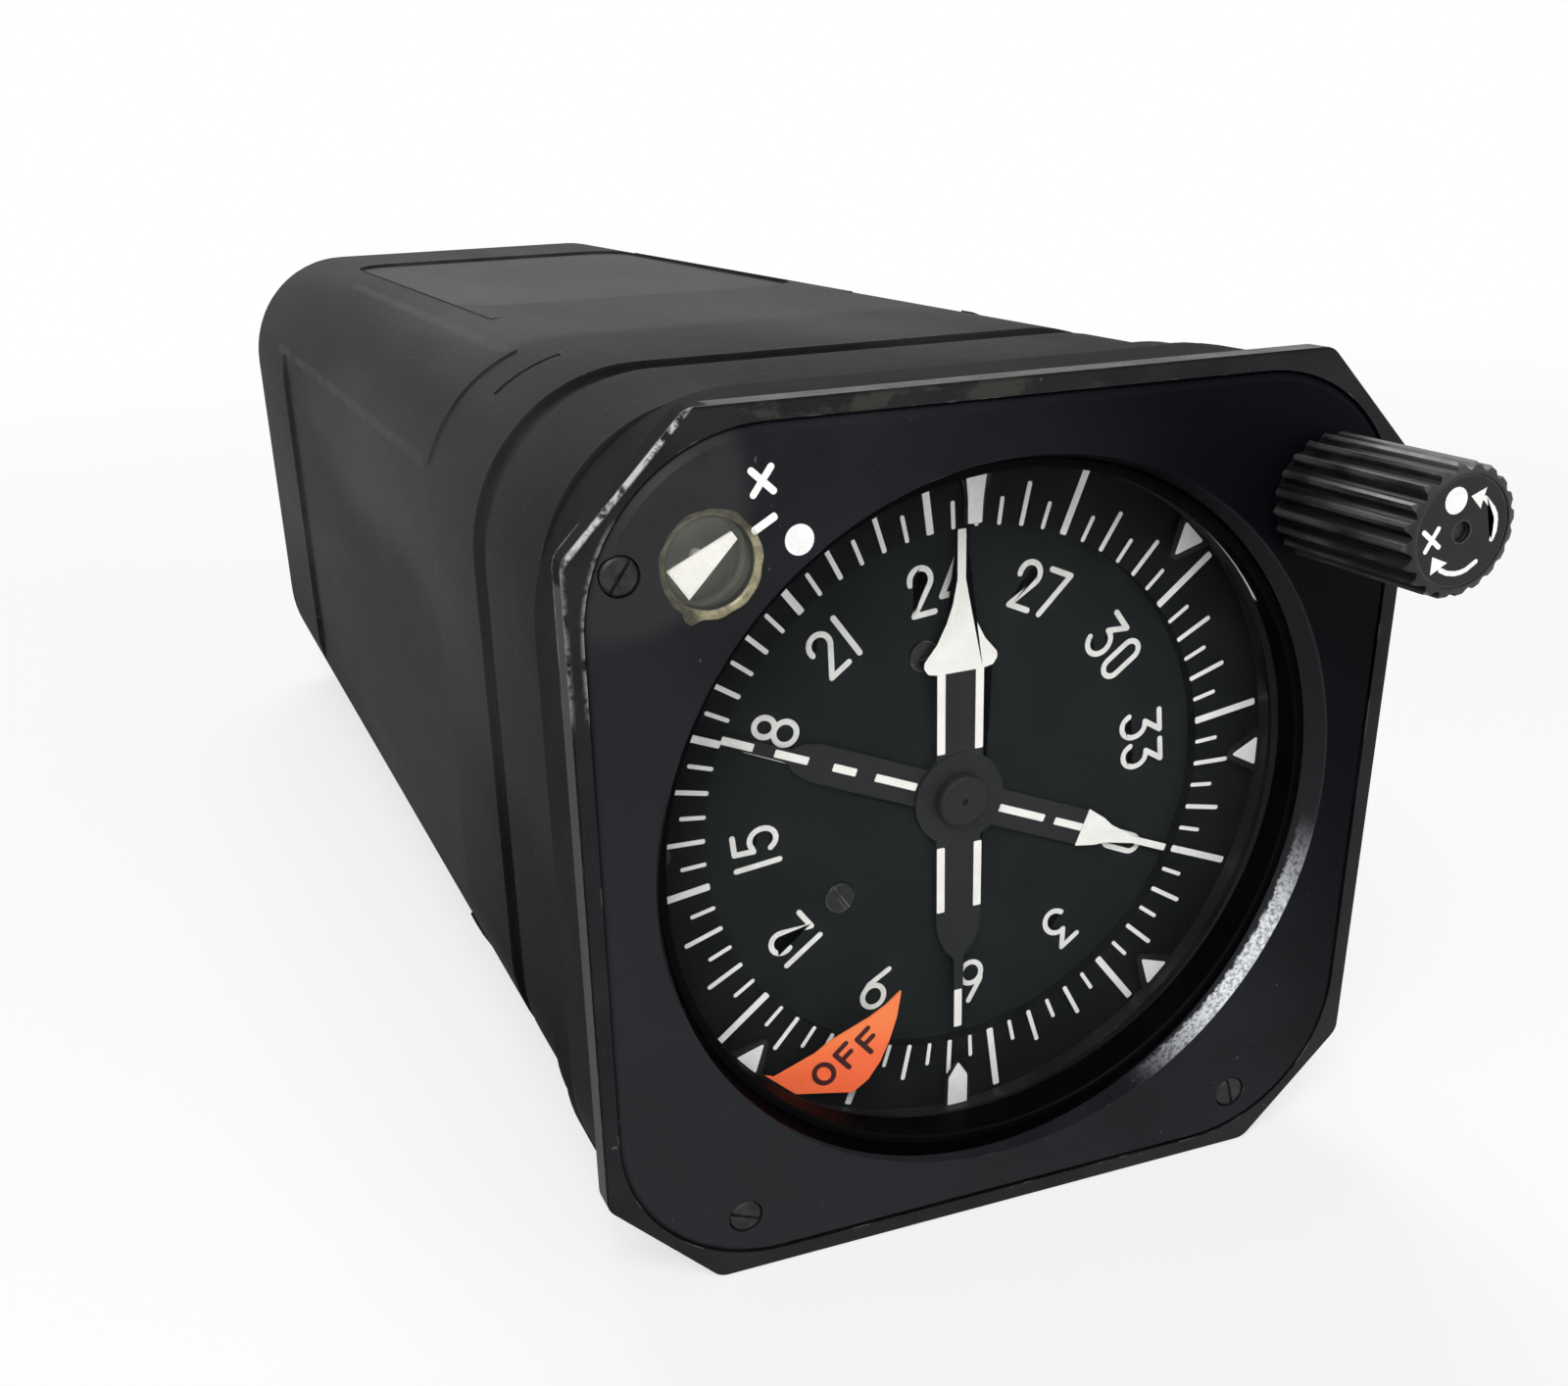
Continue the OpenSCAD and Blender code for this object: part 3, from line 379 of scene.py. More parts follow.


# The front plate
# A flat plate with rounded corners, satin black, laid in the flange and screwed
# down. A painted sheen lies round the small indicator, the bevel of the dial
# opening is rubbed bright at its lower right, and fine scratches cross it.
plate = wear_finish(
    "plate_black", (0.0052, 0.0055, 0.0070), (0.0098, 0.0103, 0.0130), (0.36, 0.52), patch=11, grain=0.28,
    relief=0.006, gloss=0.10, worn=(0.09, 0.09, 0.09), worn_width=0.2, worn_share=0.3,
    spots=(0.7, 0.79, (0.06, 0.06, 0.06)))
# Painted sheen: a lighter patch round the small indicator.
plate.over(plate.times(plate.near((-36.5, -11, 34.5), 9.5, 2.5),
                       plate.ramp(plate.clouds(5, 3.0), 0.3, 0.55, 0.55, 1.0)), (0.024, 0.024, 0.026))
scratch = plate.ramp(plate.clouds(1.1, 2.0, (1, 1, 14), (4, 1, 1)), 0.70, 0.74)
plate.over(plate.times(scratch, 0.4), (0.03, 0.03, 0.032))
# Painted light and shade: the plate lighter towards its lower left, darker and less shiny towards its upper
# right.
painted_light_slope = plate.math("ADD", plate.axis("x"), plate.times(plate.axis("z"), 0.6))
plate.over(plate.ramp(painted_light_slope, -0.045, 0.0, 0.55, 0.0), (0.022, 0.0225, 0.025))
plate.over(plate.ramp(painted_light_slope, 0.005, 0.04, 0.0, 0.85), (0.0018, 0.0021, 0.0034))
bevel = plate.ramp(plate.off_axis(), 0.0350, 0.0352, 1.0, 0.0)
# Painted light: the right side of the opening's bevel painted lighter, as if lit.
plate.over(plate.times(bevel, plate.past("x", 12, 30)), (0.0230, 0.0235, 0.0250))
# Painted shade: the deeper part of the opening's bevel painted near-black, its edge slanting across the
# opening.
depth = plate.math("SUBTRACT", plate.axis("y"), plate.times(plate.axis("x"), 0.035))
deep_shade = plate.times(bevel, plate.ramp(depth, -0.00985, -0.00975))
plate.over(deep_shade, (0.0006, 0.0006, 0.0010))
plate.set("Specular IOR Level", plate.times(plate.ramp(deep_shade, 0.0, 1.0, 0.10, 0.02),
                                            plate.ramp(painted_light_slope, 0.0, 0.04, 1.0, 0.30)))
torn = plate.math("SUBTRACT", plate.axis("y"), plate.times(plate.clouds(0.7, 5.0, rough=0.7), 0.0014))
scuff = plate.ramp(plate.clouds(0.4, 4.0, shift=(3, 3, 1), rough=0.7), 0.33, 0.60, 0.25, 1.0)
plate.over(plate.times(plate.ramp(torn, -0.01035, -0.0100, 1.0, 0.0), bevel,
                       plate.near((27.6, -10.0, -19.0), 3.0, 14), scuff), (0.88, 0.90, 0.94))
dress(plate, "front_plate")


# The plate's screws
# Four small slotted screws of blackened steel, sunk in round wells. Their heads
# are domed, chamfered and scuffed by screwdrivers; each slot lies its own way.
class Maker(Tree):
    """The Geometry Nodes tree of one piece, with its sizes as named inputs."""

    def __init__(self, name, sizes):
        super().__init__(bpy.data.node_groups.new(name, "GeometryNodeTree"))
        self.name, self.sizes = name, sizes
        socket = self.tree.interface.new_socket
        for way in ("INPUT", "OUTPUT"):
            socket("Geometry", in_out=way, socket_type="NodeSocketGeometry")
        for label, value in sizes.items():
            kind = "Material" if isinstance(value, bpy.types.Material) else type(value).__name__.title()
            socket(label, in_out="INPUT", socket_type="NodeSocket" + kind)
        self.entry = self.node("NodeGroupInput")
        self.exit = self.node("NodeGroupOutput")

    def size(self, label):
        return self.entry.outputs[label]

    def vector(self, x=0.0, y=0.0, z=0.0):
        return self.out("ShaderNodeCombineXYZ", X=x, Y=y, Z=z)

    def moved(self, shape, **how):
        return self.out("GeometryNodeTransform", Geometry=shape, **how)

    def joined(self, operation, **shapes):
        how = {"operation": operation, "solver": "EXACT"}
        return self.out("GeometryNodeMeshBoolean", how, **shapes)

    def build(self, shape, body, places=()):
        """Ends the tree and makes its result a piece; places carry the repeats, in millimetres."""
        real = self.out("GeometryNodeRealizeInstances", Geometry=shape)
        done = self.out("GeometryNodeSetMaterial", Geometry=real, Material=self.size("Finish"))
        self.give(self.exit.inputs[0], done)
        carrier = bpy.data.meshes.new(self.name)
        carrier.from_pydata([tuple(c / 1000 for c in place) for place in places], [], [])
        piece = add(self.name, carrier)
        modifier = piece.modifiers.new(self.name, "NODES")
        modifier.node_group = self.tree
        for item in self.tree.interface.items_tree:
            if item.in_out == "INPUT" and item.name in self.sizes:
                modifier[item.identifier] = self.sizes[item.name]
        mesh = settled(piece)
        mesh.name = self.name
        if not mesh.materials:
            mesh.materials.append(self.sizes["Finish"])
        clean = bmesh.new()
        clean.from_mesh(mesh)
        bmesh.ops.remove_doubles(clean, verts=clean.verts, dist=1e-7)
        bmesh.ops.recalc_face_normals(clean, faces=clean.faces)
        clean.to_mesh(mesh)
        clean.free()
        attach(piece, body)
        return piece


screw_steel = wear_finish(
    "screw_steel", (0.010, 0.010, 0.010), (0.030, 0.029, 0.027), (0.38, 0.6), patch=1.2, grain=0.12,
    relief=0.01, metal=0.4, gloss=0.3, worn=(0.10, 0.095, 0.085), worn_width=0.12, worn_share=0.5)
low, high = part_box("plate_screws")
screw_r, screw_depth = 1.45, -10.85
screw_places = [(side, screw_depth, low.z * 1000 + screw_r) for side in (-27.8, 27.8)] + [
    (side, screw_depth, 29) for side in (low.x * 1000 + screw_r, high.x * 1000 - screw_r)]
heads = Maker("plate_screw_heads", {"Head radius": 0.00160, "Head depth": 0.0008, "Slot width": 0.00036,
                                    "Slot depth": 0.00035, "Turn": 0.9, "Finish": screw_steel.material})
head_r, head_depth, dome_height = heads.size("Head radius"), heads.size("Head depth"), 0.00016
disc = heads.out("GeometryNodeMeshCylinder", Vertices=32, Side_Segments=1, Radius=head_r, Depth=head_depth)
crown = heads.out("GeometryNodeMeshCone", Vertices=32, Radius_Top=heads.times(head_r, 0.86),
                  Radius_Bottom=head_r, Depth=dome_height)
crown = heads.moved(crown, Translation=heads.vector(z=heads.times(head_depth, 0.499)))
slot = heads.out("GeometryNodeMeshCube", Size=heads.vector(
    0.006, heads.size("Slot width"), heads.times(heads.size("Slot depth"), 2.0)))
crest = heads.math("ADD", heads.times(head_depth, 0.5), dome_height)
slot = heads.moved(slot, Translation=heads.vector(z=crest))
head = heads.joined("DIFFERENCE", i0=heads.joined("UNION", i1=[disc, crown]), i1=[slot])
head = heads.moved(head, Rotation=(math.pi / 2, 0, 0), Translation=(0, 0.0004, 0))
lie = heads.math("ADD", heads.times(heads.out("GeometryNodeInputIndex"), heads.size("Turn")), 0.4)
facing = heads.out("FunctionNodeEulerToRotation", Euler=heads.vector(y=lie))
placed = heads.out("GeometryNodeInstanceOnPoints", Points=heads.entry.outputs[0], Instance=head,
                   Rotation=facing)
plate_screw_heads = heads.build(placed, "case", screw_places)
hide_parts("plate_screws")


# The glass and its rubber ring
# A clear flat disc bedded in a thin grey ring against the bezel's inner shoulder;
# only a little sheen and a trace of dust give it away.
def see_through(name, tint, share, rough, cloudy=0.02):
    f = Finish(name)
    f.set("Roughness", f.ramp(f.clouds(9, 3.0), 0.3, 0.7, rough, rough + 0.05))
    f.set("Base Color", f.mix(f.ramp(f.clouds(2.2, 4.0), 0.4, 0.75), tint,
                              tuple(min(1, c * 1.1) for c in tint)))
    f.set("Alpha", f.ramp(f.clouds(5, 4.0, shift=(2, 2, 2)), 0.35, 0.8, share, share + cloudy))
    f.material.surface_render_method = "BLENDED"
    return f


dress(see_through("clear_glass", (0.50, 0.54, 0.57), 0.003, 0.02, 0.004), "cover_glass")
dress(wear_finish(
    "grey_rubber", (0.014, 0.0145, 0.015), (0.026, 0.027, 0.028), (0.55, 0.7), patch=3, grain=0.2,
    relief=0.01, gloss=0.2), "glass_gasket")


# The index ring
# A turned ring between glass and card, grey where the light reaches its wall, with
# eight fixed lugs over the card's edge that carry the white index marks.
dress(wear_finish(
    "ring_grey", (0.0065, 0.0068, 0.0078), (0.0120, 0.0125, 0.0135), (0.4, 0.6), patch=5, grain=0.3,
    relief=0.008, gloss=0.25, worn=(0.12, 0.12, 0.125), worn_width=0.2, worn_share=0.2), "index_ring")


def soften(points, radius, steps=4):
    """An outline with its corners rounded to at most radius."""
    out = []
    for i, here in enumerate(points):
        p, a, b = Vector(here), Vector(points[i - 1]), Vector(points[(i + 1) % len(points)])
        u, v = a - p, b - p
        r = min(radius, u.length * 0.45, v.length * 0.45)
        u, v = u.normalized() * r, v.normalized() * r
        for k in range(steps + 1):
            t = k / steps
            out.append(tuple((p + u) * (1 - t) ** 2 + p * 2 * t * (1 - t) + (p + v) * t ** 2))
    return out


def shift(points, x, z):
    return [(a + x, b + z) for a, b in points]


def plate_of(work, outline, front, back):
    """Adds to work a closed slab between two depths; outline and depths in millimetres."""
    if sum(a[0] * b[1] - b[0] * a[1] for a, b in zip(outline, outline[1:] + outline[:1])) < 0:
        outline = outline[::-1]
    near, far = ([work.verts.new((x / 1000, y / 1000, z / 1000)) for x, z in outline] for y in (front, back))
    ends = [work.faces.new(near), work.faces.new(far[::-1])]
    for i in range(len(near)):
        work.faces.new((near[i - 1], far[i - 1], far[i], near[i]))
    bmesh.ops.triangulate(work, faces=ends)


def smooth_runs(line, sharp=0.75):
    """Cuts a line where it turns sharply, so that each run can be offset cleanly."""
    runs, run = [], [line[0]]
    for a, p, b in zip(line, line[1:], line[2:]):
        run.append(p)
        u, v = (Vector(p) - Vector(a)).normalized(), (Vector(b) - Vector(p)).normalized()
        if u.dot(v) < sharp:
            runs.append(run)
            run = [p]
    return runs + [run + [line[-1]]]


def ribbon(work, line, width, front, back, closed=False):
    """Adds to work a pen stroke with round ends along a line, as closed slabs a hair apart in height."""
    for k, run in enumerate([line] if closed else smooth_runs(line)):
        points = [Vector(p) for p in run]
        n = len(points)
        left, right = [], []
        for i, p in enumerate(points):
            a = points[i - 1] if closed or i else p
            b = points[(i + 1) % n] if closed or i < n - 1 else p
            t = (b - a).normalized()
            across = Vector((-t.y, t.x)) * width / 2
            left.append(tuple(p + across))
            right.append(tuple(p - across))
        near = front + 0.004 * k
        if closed:
            rows = [[work.verts.new((x / 1000, y / 1000, z / 1000)) for x, z in side]
                    for side in (left, right) for y in (near, back)]
            for i in range(n):
                for a, b in ((rows[0], rows[1]), (rows[1], rows[3]), (rows[3], rows[2]), (rows[2], rows[0])):
                    work.faces.new((a[i - 1], a[i], b[i], b[i - 1]))
            continue
        caps = []
        for end, first in ((points[-1], left[-1]), (points[0], right[0])):
            base = math.atan2(first[1] - end.y, first[0] - end.x)
            caps.append([(end.x + math.cos(base - math.pi * q / 8) * width / 2,
                          end.y + math.sin(base - math.pi * q / 8) * width / 2) for q in range(1, 8)])
        plate_of(work, left + caps[0] + right[::-1] + caps[1], near, back)


def slabs(name, finish, body, draw, node=None):
    """Makes one piece of the slabs that draw adds, in place of a CAD node where one is named."""
    piece = drawn(name, draw)
    piece.data.materials.append(finish.material)
    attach(piece, body)
    if node:
        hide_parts(node)


def turned(work, profile, hollow=False, steps=64):
    """Adds to work a solid turned about the dial's axis; profile holds radii and depths in millimetres."""
    rows = []
    for r, y in profile:
        rows.append([work.verts.new((r * math.sin(2 * math.pi * k / steps) / 1000, y / 1000,
                                     r * math.cos(2 * math.pi * k / steps) / 1000))
                     for k in range(steps if r else 1)])
    for a, b in zip(rows, rows[1:] + rows[:1] if hollow else rows[1:]):
        for k in range(steps):
            work.faces.new(list(dict.fromkeys((a[k - 1 if len(a) > 1 else 0], a[k if len(a) > 1 else 0],
                                               b[k if len(b) > 1 else 0], b[k - 1 if len(b) > 1 else 0]))))


# The ring in front of the glass
# A black ring pressed into the opening holds the glass; from the side its lip hides
# the outer ends of the card's strokes. Its near-black, darker than paint, is painted shade;
# the rear of its inner wall is painted grey as painted light, with one short painted glint.
# Painted shade: the ring's colour is near-black, darker than the bezel's paint.
clamp = wear_finish(
    "clamp_black", (0.0006, 0.0006, 0.0009), (0.0010, 0.0010, 0.0014), (0.5, 0.65), patch=5, grain=0.25,
    relief=0.004, gloss=0.04)
fall = clamp.times(clamp.axis("z"), 0.03)
leant, leant_back = (clamp.math(way, clamp.axis("y"), fall) for way in ("ADD", "SUBTRACT"))
# Painted light: the rear of the inner wall, next to the glass, painted grey as if lit.
clamp.over(clamp.ramp(leant, -0.00580, -0.00570), (0.0185, 0.0190, 0.0210))
# Painted glint: a short white highlight on the inner wall at the upper right.
glint = clamp.times(clamp.ramp(leant_back, -0.00731, -0.00725), clamp.ramp(leant, -0.00578, -0.00572, 1, 0),
                    clamp.past("z", 17.6, 18.2), clamp.past("x", 12, 18))
clamp.over(glint, (0.95, 0.95, 0.95))


def clamp_ring(work):
    front, back = -8.55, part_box("cover_glass")[0].y * 1000 - 0.05
    profile = [(33.5, front), (34.12, front), (34.12, back), (33.3, back), (33.3, front + 0.2)]
    turned(work, profile, True, 144)


slabs("clamp_ring", clamp, "case", clamp_ring)


# The index marks
# White enamel on the fronts of the eight lugs: a flared column at the top, a
# five-sided mark at the bottom and small triangles between them.
white_paint = wear_finish(
    "white_paint", (0.80, 0.79, 0.76), (0.88, 0.87, 0.84), (0.45, 0.6), patch=1.5, grain=0.12,
    relief=0.006, gloss=0.4)
coat = 0.03
tab_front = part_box("index_ring")[0].y * 1000 + 1.1


def index_marks(work):
    column = [(-0.72, 27.4), (0.72, 27.4), (0.78, 29.5), (1.0, 31.4), (1.35, 33.0), (1.75, 34.3),
              (-1.75, 34.3), (-1.35, 33.0), (-1.0, 31.4), (-0.78, 29.5)]
    plate_of(work, soften(column, 0.15), tab_front - coat, tab_front)
    house = [(0, 29.3), (1.1, 31.0), (1.15, 34.4), (-1.15, 34.4), (-1.1, 31.0)]
    plate_of(work, turn(soften(house, 0.25), 180), tab_front - coat, tab_front)
    for bearing in (45, 90, 135, 225, 270, 315):
        wedge = [(0, 30.9), (1.55, 33.9), (-1.55, 33.9)]
        plate_of(work, turn(soften(wedge, 0.35), bearing), tab_front - coat, tab_front)


slabs("index_marks", white_paint, "case", index_marks)


# The compass card
# A dish of painted alloy: its outer ring carries 72 white strokes, one for every
# five degrees, and the sunk disc inside it the numbers. Dull greenish black.
dress(wear_finish(
    "card_black", (0.0042, 0.0050, 0.0054), (0.0066, 0.0074, 0.0080), (0.6, 0.75), patch=6, grain=0.25,
    relief=0.003, gloss=0.05, spots=(0.6, 0.80, (0.04, 0.04, 0.04))), "compass_card")
dress(wear_finish(
    "disc_black", (0.0088, 0.0112, 0.0108), (0.0112, 0.0138, 0.0132), (0.6, 0.75), patch=8, grain=0.25,
    relief=0.003, gloss=0.05, worn=(0.07, 0.08, 0.075), worn_width=0.15, worn_share=0.9), "number_disc")
card_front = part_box("compass_card")[0].y
top_heading = 248.68
ticks = Maker("degree_strokes", {
    "Count": 72, "Inner radius": 0.02693, "Short": 0.0026, "Medium": 0.0041, "Long": 0.0072,
    "Short width": 0.00041, "Medium width": 0.00047, "Long width": 0.00072, "Thickness": 0.00003,
    "Face": card_front, "First": math.radians(-top_heading), "Finish": white_paint.material})
index = ticks.out("GeometryNodeInputIndex")
every6 = ticks.math("COMPARE", ticks.math("MODULO", index, 6.0), 0.0)
every2 = ticks.math("COMPARE", ticks.math("MODULO", index, 2.0), 0.0)
medium_only = ticks.math("SUBTRACT", every2, every6)
short_only = ticks.math("SUBTRACT", 1.0, every2)
bearing = ticks.math("ADD", ticks.times(index, math.radians(5)), ticks.size("First"))
facing = ticks.out("FunctionNodeEulerToRotation", Euler=ticks.vector(y=bearing))
cloud = ticks.out("GeometryNodePoints", Count=ticks.size("Count"),
                  Position=ticks.vector(y=ticks.size("Face")))
groups = []
for kind, chosen in (("Short", short_only), ("Medium", medium_only), ("Long", every6)):
    bar = ticks.out("GeometryNodeCurvePrimitiveQuadrilateral", Width=ticks.size(kind + " width"),
                    Height=ticks.size(kind))
    bar = ticks.out("GeometryNodeFilletCurve", {"mode": "POLY"}, Curve=bar, Count=3, Radius=0.00018)
    face = ticks.out("GeometryNodeFillCurve", Curve=bar)
    raised = ticks.out("GeometryNodeExtrudeMesh", Mesh=face, Offset_Scale=ticks.size("Thickness"),
                       Individual=False)
    under = ticks.out("GeometryNodeFlipFaces", Mesh=face)
    whole = ticks.out("GeometryNodeJoinGeometry", Geometry=[raised, under])
    up = ticks.math("ADD", ticks.size("Inner radius"), ticks.times(ticks.size(kind), 0.5))
    whole = ticks.moved(whole, Translation=ticks.vector(y=up))
    whole = ticks.moved(whole, Rotation=(math.pi / 2, 0, 0))
    groups.append(ticks.out("GeometryNodeInstanceOnPoints", Points=cloud, Selection=chosen, Instance=whole,
                            Rotation=facing))
every = ticks.out("GeometryNodeJoinGeometry", Geometry=groups)
degree_strokes = ticks.build(every, "card")


# The numbers
# Engraved-style figures filled with off-white paint on the sunk disc, tops
# outwards, every thirty degrees with the last nought left off.

# Each figure is a list of pen strokes: whether the stroke is closed, and its points in millimetres.
figures = {
    "0": [(True, arc(0, 1.25, 0.92, 0.97, 0, 180) + arc(0, -1.25, 0.92, 0.97, 180, 360))],
    "1": [(False, [(0, 2.25), (0, -2.25)])],
    "2": [(False, arc(-0.08, 1.12, 1.14, 1.12, 195, -32) + [(-1.05, -2.2), (1.2, -2.2)])],
    "3": [(False, [(-1.15, 2.2), (1.1, 2.2), (-0.25, 0.5)] + arc(-0.05, -0.86, 1.25, 1.36, 75, -160))],
    "4": [(False, [(0.55, 2.25), (-1.3, -0.95), (1.4, -0.95)]), (False, [(0.62, 0.55), (0.62, -2.2)])],
    "5": [(False, [(1.05, 2.2), (-0.78, 2.2), (-0.98, 0.25)] + arc(0.02, -0.83, 1.22, 1.37, 125, -150))],
    "7": [(False, [(-1.2, 2.2), (1.15, 2.2), (-0.7, -2.2)])],
    "8": [(True, arc(0, 1.18, 0.98, 1.05, 0, 345, 23)), (True, arc(0, -1.08, 1.18, 1.17, 0, 345, 23))],
    "9": [(True, arc(0, 0.98, 1.24, 1.24, 0, 345, 23)),
          (False, [(1.22, 0.9), (1.05, -0.1), (-0.55, -2.25)])],
}
figures["6"] = [(loop, [(-x, -z) for x, z in line]) for loop, line in figures["9"]]
number_paint = wear_finish(
    "number_paint", (0.70, 0.69, 0.65), (0.80, 0.79, 0.75), (0.5, 0.62), patch=1.2, grain=0.12,
    relief=0.006, gloss=0.35)
disc_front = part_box("number_disc")[0].y * 1000
number_r = 21.4


def numbers(work):
    for heading in range(0, 36, 3):
        text = str(heading)
        bearing = heading * 10 - top_heading + 2
        narrow = 0.38 if "1" in text else 0.0
        for i, figure in enumerate(text):
            sideways = (i * 2 - 1) * (1.62 - narrow) + (0.2 if text[0] == "1" else 0.0)
            for k, (loop, line) in enumerate(figures[figure]):
                line = shift([(x * 0.96, z) for x, z in line], sideways if len(text) == 2 else 0, number_r)
                ribbon(work, turn(line, bearing), 0.57, disc_front - coat + 0.012 * k, disc_front, loop)


slabs("numbers", number_paint, "card", numbers)
dress(wear_finish(
    "card_screw_steel", (0.003, 0.003, 0.003), (0.008, 0.008, 0.0075), (0.25, 0.45), patch=0.9, grain=0.1,
    relief=0.006, metal=0.3, worn=(0.30, 0.30, 0.28), worn_width=0.15, worn_share=0.45), "card_screws")


# The front needle
# A stamped needle in dark grey paint with a cream arrowhead, two cream bars and a
# short tail bar. It turns in the card's dish on the shaft in the middle, under a cap.
needle_grey = wear_finish(
    "needle_grey", (0.0100, 0.0105, 0.0110), (0.0140, 0.0146, 0.0154), (0.5, 0.65), patch=5, grain=0.2,
    relief=0.004, gloss=0.2, worn=(0.05, 0.05, 0.05), worn_width=0.12, worn_share=0.3)
needle_paint = wear_finish(
    "needle_paint", (0.83, 0.81, 0.75), (0.90, 0.88, 0.83), (0.42, 0.56), patch=2, grain=0.12,
    relief=0.006, gloss=0.4)
needle_steel = wear_finish(
    "needle_steel", (0.42, 0.42, 0.43), (0.56, 0.56, 0.57), (0.18, 0.32), patch=4, grain=0.18,
    relief=0.006, metal=1.0)
front_bearing, front_face = 358.8, -0.50
rear_bearing, rear_face = 111.9, -0.16
blade, boss = 0.22, 0.08
shaft_r, bore_r, sleeve_r, hub_r = 1.0, 1.05, 1.8, 4.8


def both_sides(half):
    """A whole outline from its right half, drawn from the bottom up."""
    return half + [(-x, z) for x, z in half[::-1]]


def front_needle(work):
    half = [(0.5, -25.9), (0.55, -17.6), (1.3, -16.9), (2.2, -15.2), (2.52, -13.6), (2.52, 12.9),
            (3.35, 13.25), (3.78, 13.9), (3.7, 14.4), (2.45, 15.95), (1.45, 17.85), (0.82, 19.7),
            (0.40, 21.9), (0.40, 26.6)]
    plate_of(work, turn(soften(both_sides(half), 0.2), front_bearing), front_face, front_face + blade)
    near, far = front_face - boss, front_face + 0.1
    turned(work, [(0, near), (hub_r, near), (hub_r, far), (0, far)])


def front_needle_paint(work):
    head = both_sides([(2.45, 13.05), (3.45, 13.25), (3.9, 13.9), (3.85, 14.45), (3.45, 14.95), (2.55, 16.0),
                       (1.55, 17.9), (0.88, 19.8), (0.44, 22.0), (0.44, 26.7)])
    strokes = [head, [(-0.44, -25.8), (0.44, -25.8), (0.44, -21.4), (-0.44, -21.4)]]
    for side in (-1, 1):
        for low_end, high_end in ((4.95, 13.1), (-12.1, -4.95)):
            inner, outer = 1.63 * side, 2.49 * side
            strokes.append([(inner, low_end), (outer, low_end), (outer, high_end), (inner, high_end)])
    for k, outline in enumerate(strokes):
        outline = turn(soften(outline, 0.12, 3), front_bearing)
        plate_of(work, outline, front_face - coat + 0.002 * k, front_face)


def hub_cap(work):
    base = front_face - boss
    turned(work, [(0, base - 0.75), (0.3, base - 0.75), (0.36, base - 1.08), (2.3, base - 1.12),
                  (2.6, base - 0.98), (2.7, base - 0.7), (2.7, base), (0, base)])


def needle_shaft(work):
    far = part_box("pointer_shaft")[1].y * 1000
    turned(work, [(0, front_face + blade), (shaft_r, front_face + blade), (shaft_r, far), (0, far)])


slabs("front_needle", needle_grey, "front_needle", front_needle, "front_pointer")
slabs("needle_cap", needle_grey, "front_needle", hub_cap, "hub_cap")
slabs("needle_shaft", needle_steel, "front_needle", needle_shaft, "pointer_shaft")
slabs("front_needle_paint", needle_paint, "front_needle", front_needle_paint)


# The rear needle
# A second stamped needle close behind the first, on the hollow shaft round the
# other's: a cream arrowhead and six cream dashes.
def rear_needle(work):
    arm = [(1.9, 1.6), (1.9, 15.4), (1.95, 15.75), (1.4, 17.8), (0.92, 19.0), (0.35, 22.4), (0.35, 26.6)]
    tail = [(0.55, -26.65), (0.6, -19.4), (1.4, -18.4), (1.9, -16.6), (1.9, -1.6)]
    for half in (arm, tail):
        plate_of(work, turn(soften(both_sides(half), 0.2), rear_bearing), rear_face, rear_face + blade)
    near, far = rear_face - boss, rear_face + blade - 0.02
    turned(work, [(bore_r, near), (hub_r, near), (hub_r, far), (bore_r, far)], True)


def rear_needle_paint(work):
    head = both_sides([(2.05, 15.65), (1.5, 17.9), (0.98, 19.1), (0.38, 22.5), (0.38, 26.8)])
    plate_of(work, turn(soften(head, 0.12, 3), rear_bearing), rear_face - coat, rear_face)
    for low_end, high_end in ((4.95, 10.7), (12.05, 15.6), (-9.7, -4.95), (-14.5, -11.9), (-20.9, -17.25),
                              (-26.6, -23.2)):
        dash = both_sides([(0.39, low_end), (0.39, high_end)])
        plate_of(work, turn(soften(dash, 0.12, 3), rear_bearing), rear_face - coat + 0.002, rear_face)


def needle_sleeve(work):
    near, far = rear_face + blade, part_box("pointer_sleeve")[1].y * 1000
    turned(work, [(bore_r, near), (sleeve_r, near), (sleeve_r, far), (bore_r, far)], True)


slabs("rear_needle", needle_grey, "rear_needle", rear_needle, "rear_pointer")
slabs("needle_sleeve", needle_steel, "rear_needle", needle_sleeve, "pointer_sleeve")
slabs("rear_needle_paint", needle_paint, "rear_needle", rear_needle_paint)


# The OFF flag
# A thin blade in fluorescent orange that swings out of sight when power is on,
# lettered in dark red along its lower edge. Its arm, at the left, is black.
orange = wear_finish(
    "flag_orange", (0.98, 0.150, 0.048), (1.0, 0.175, 0.060), (0.5, 0.65), patch=4, grain=0.15,
    relief=0.004, gloss=0.15)
orange.over(orange.past("z", -26.2, -21.5, 0.0, 0.8), (1.0, 0.265, 0.085))
past_x = orange.times(orange.math("ADD", orange.axis("x"), 0.02137), -1.95)
past_z = orange.times(orange.math("ADD", orange.axis("z"), 0.02567), -2.14)
orange.over(orange.ramp(orange.math("ADD", past_x, past_z), -0.0001, 0.0002), (0.0015, 0.0012, 0.0012))
dress(orange, "off_flag")
letter_red = wear_finish(
    "letter_red", (0.034, 0.003, 0.003), (0.050, 0.005, 0.004), (0.5, 0.6), patch=1, grain=0.12,
    relief=0.005, gloss=0.3)
flag_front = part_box("off_flag")[0].y * 1000


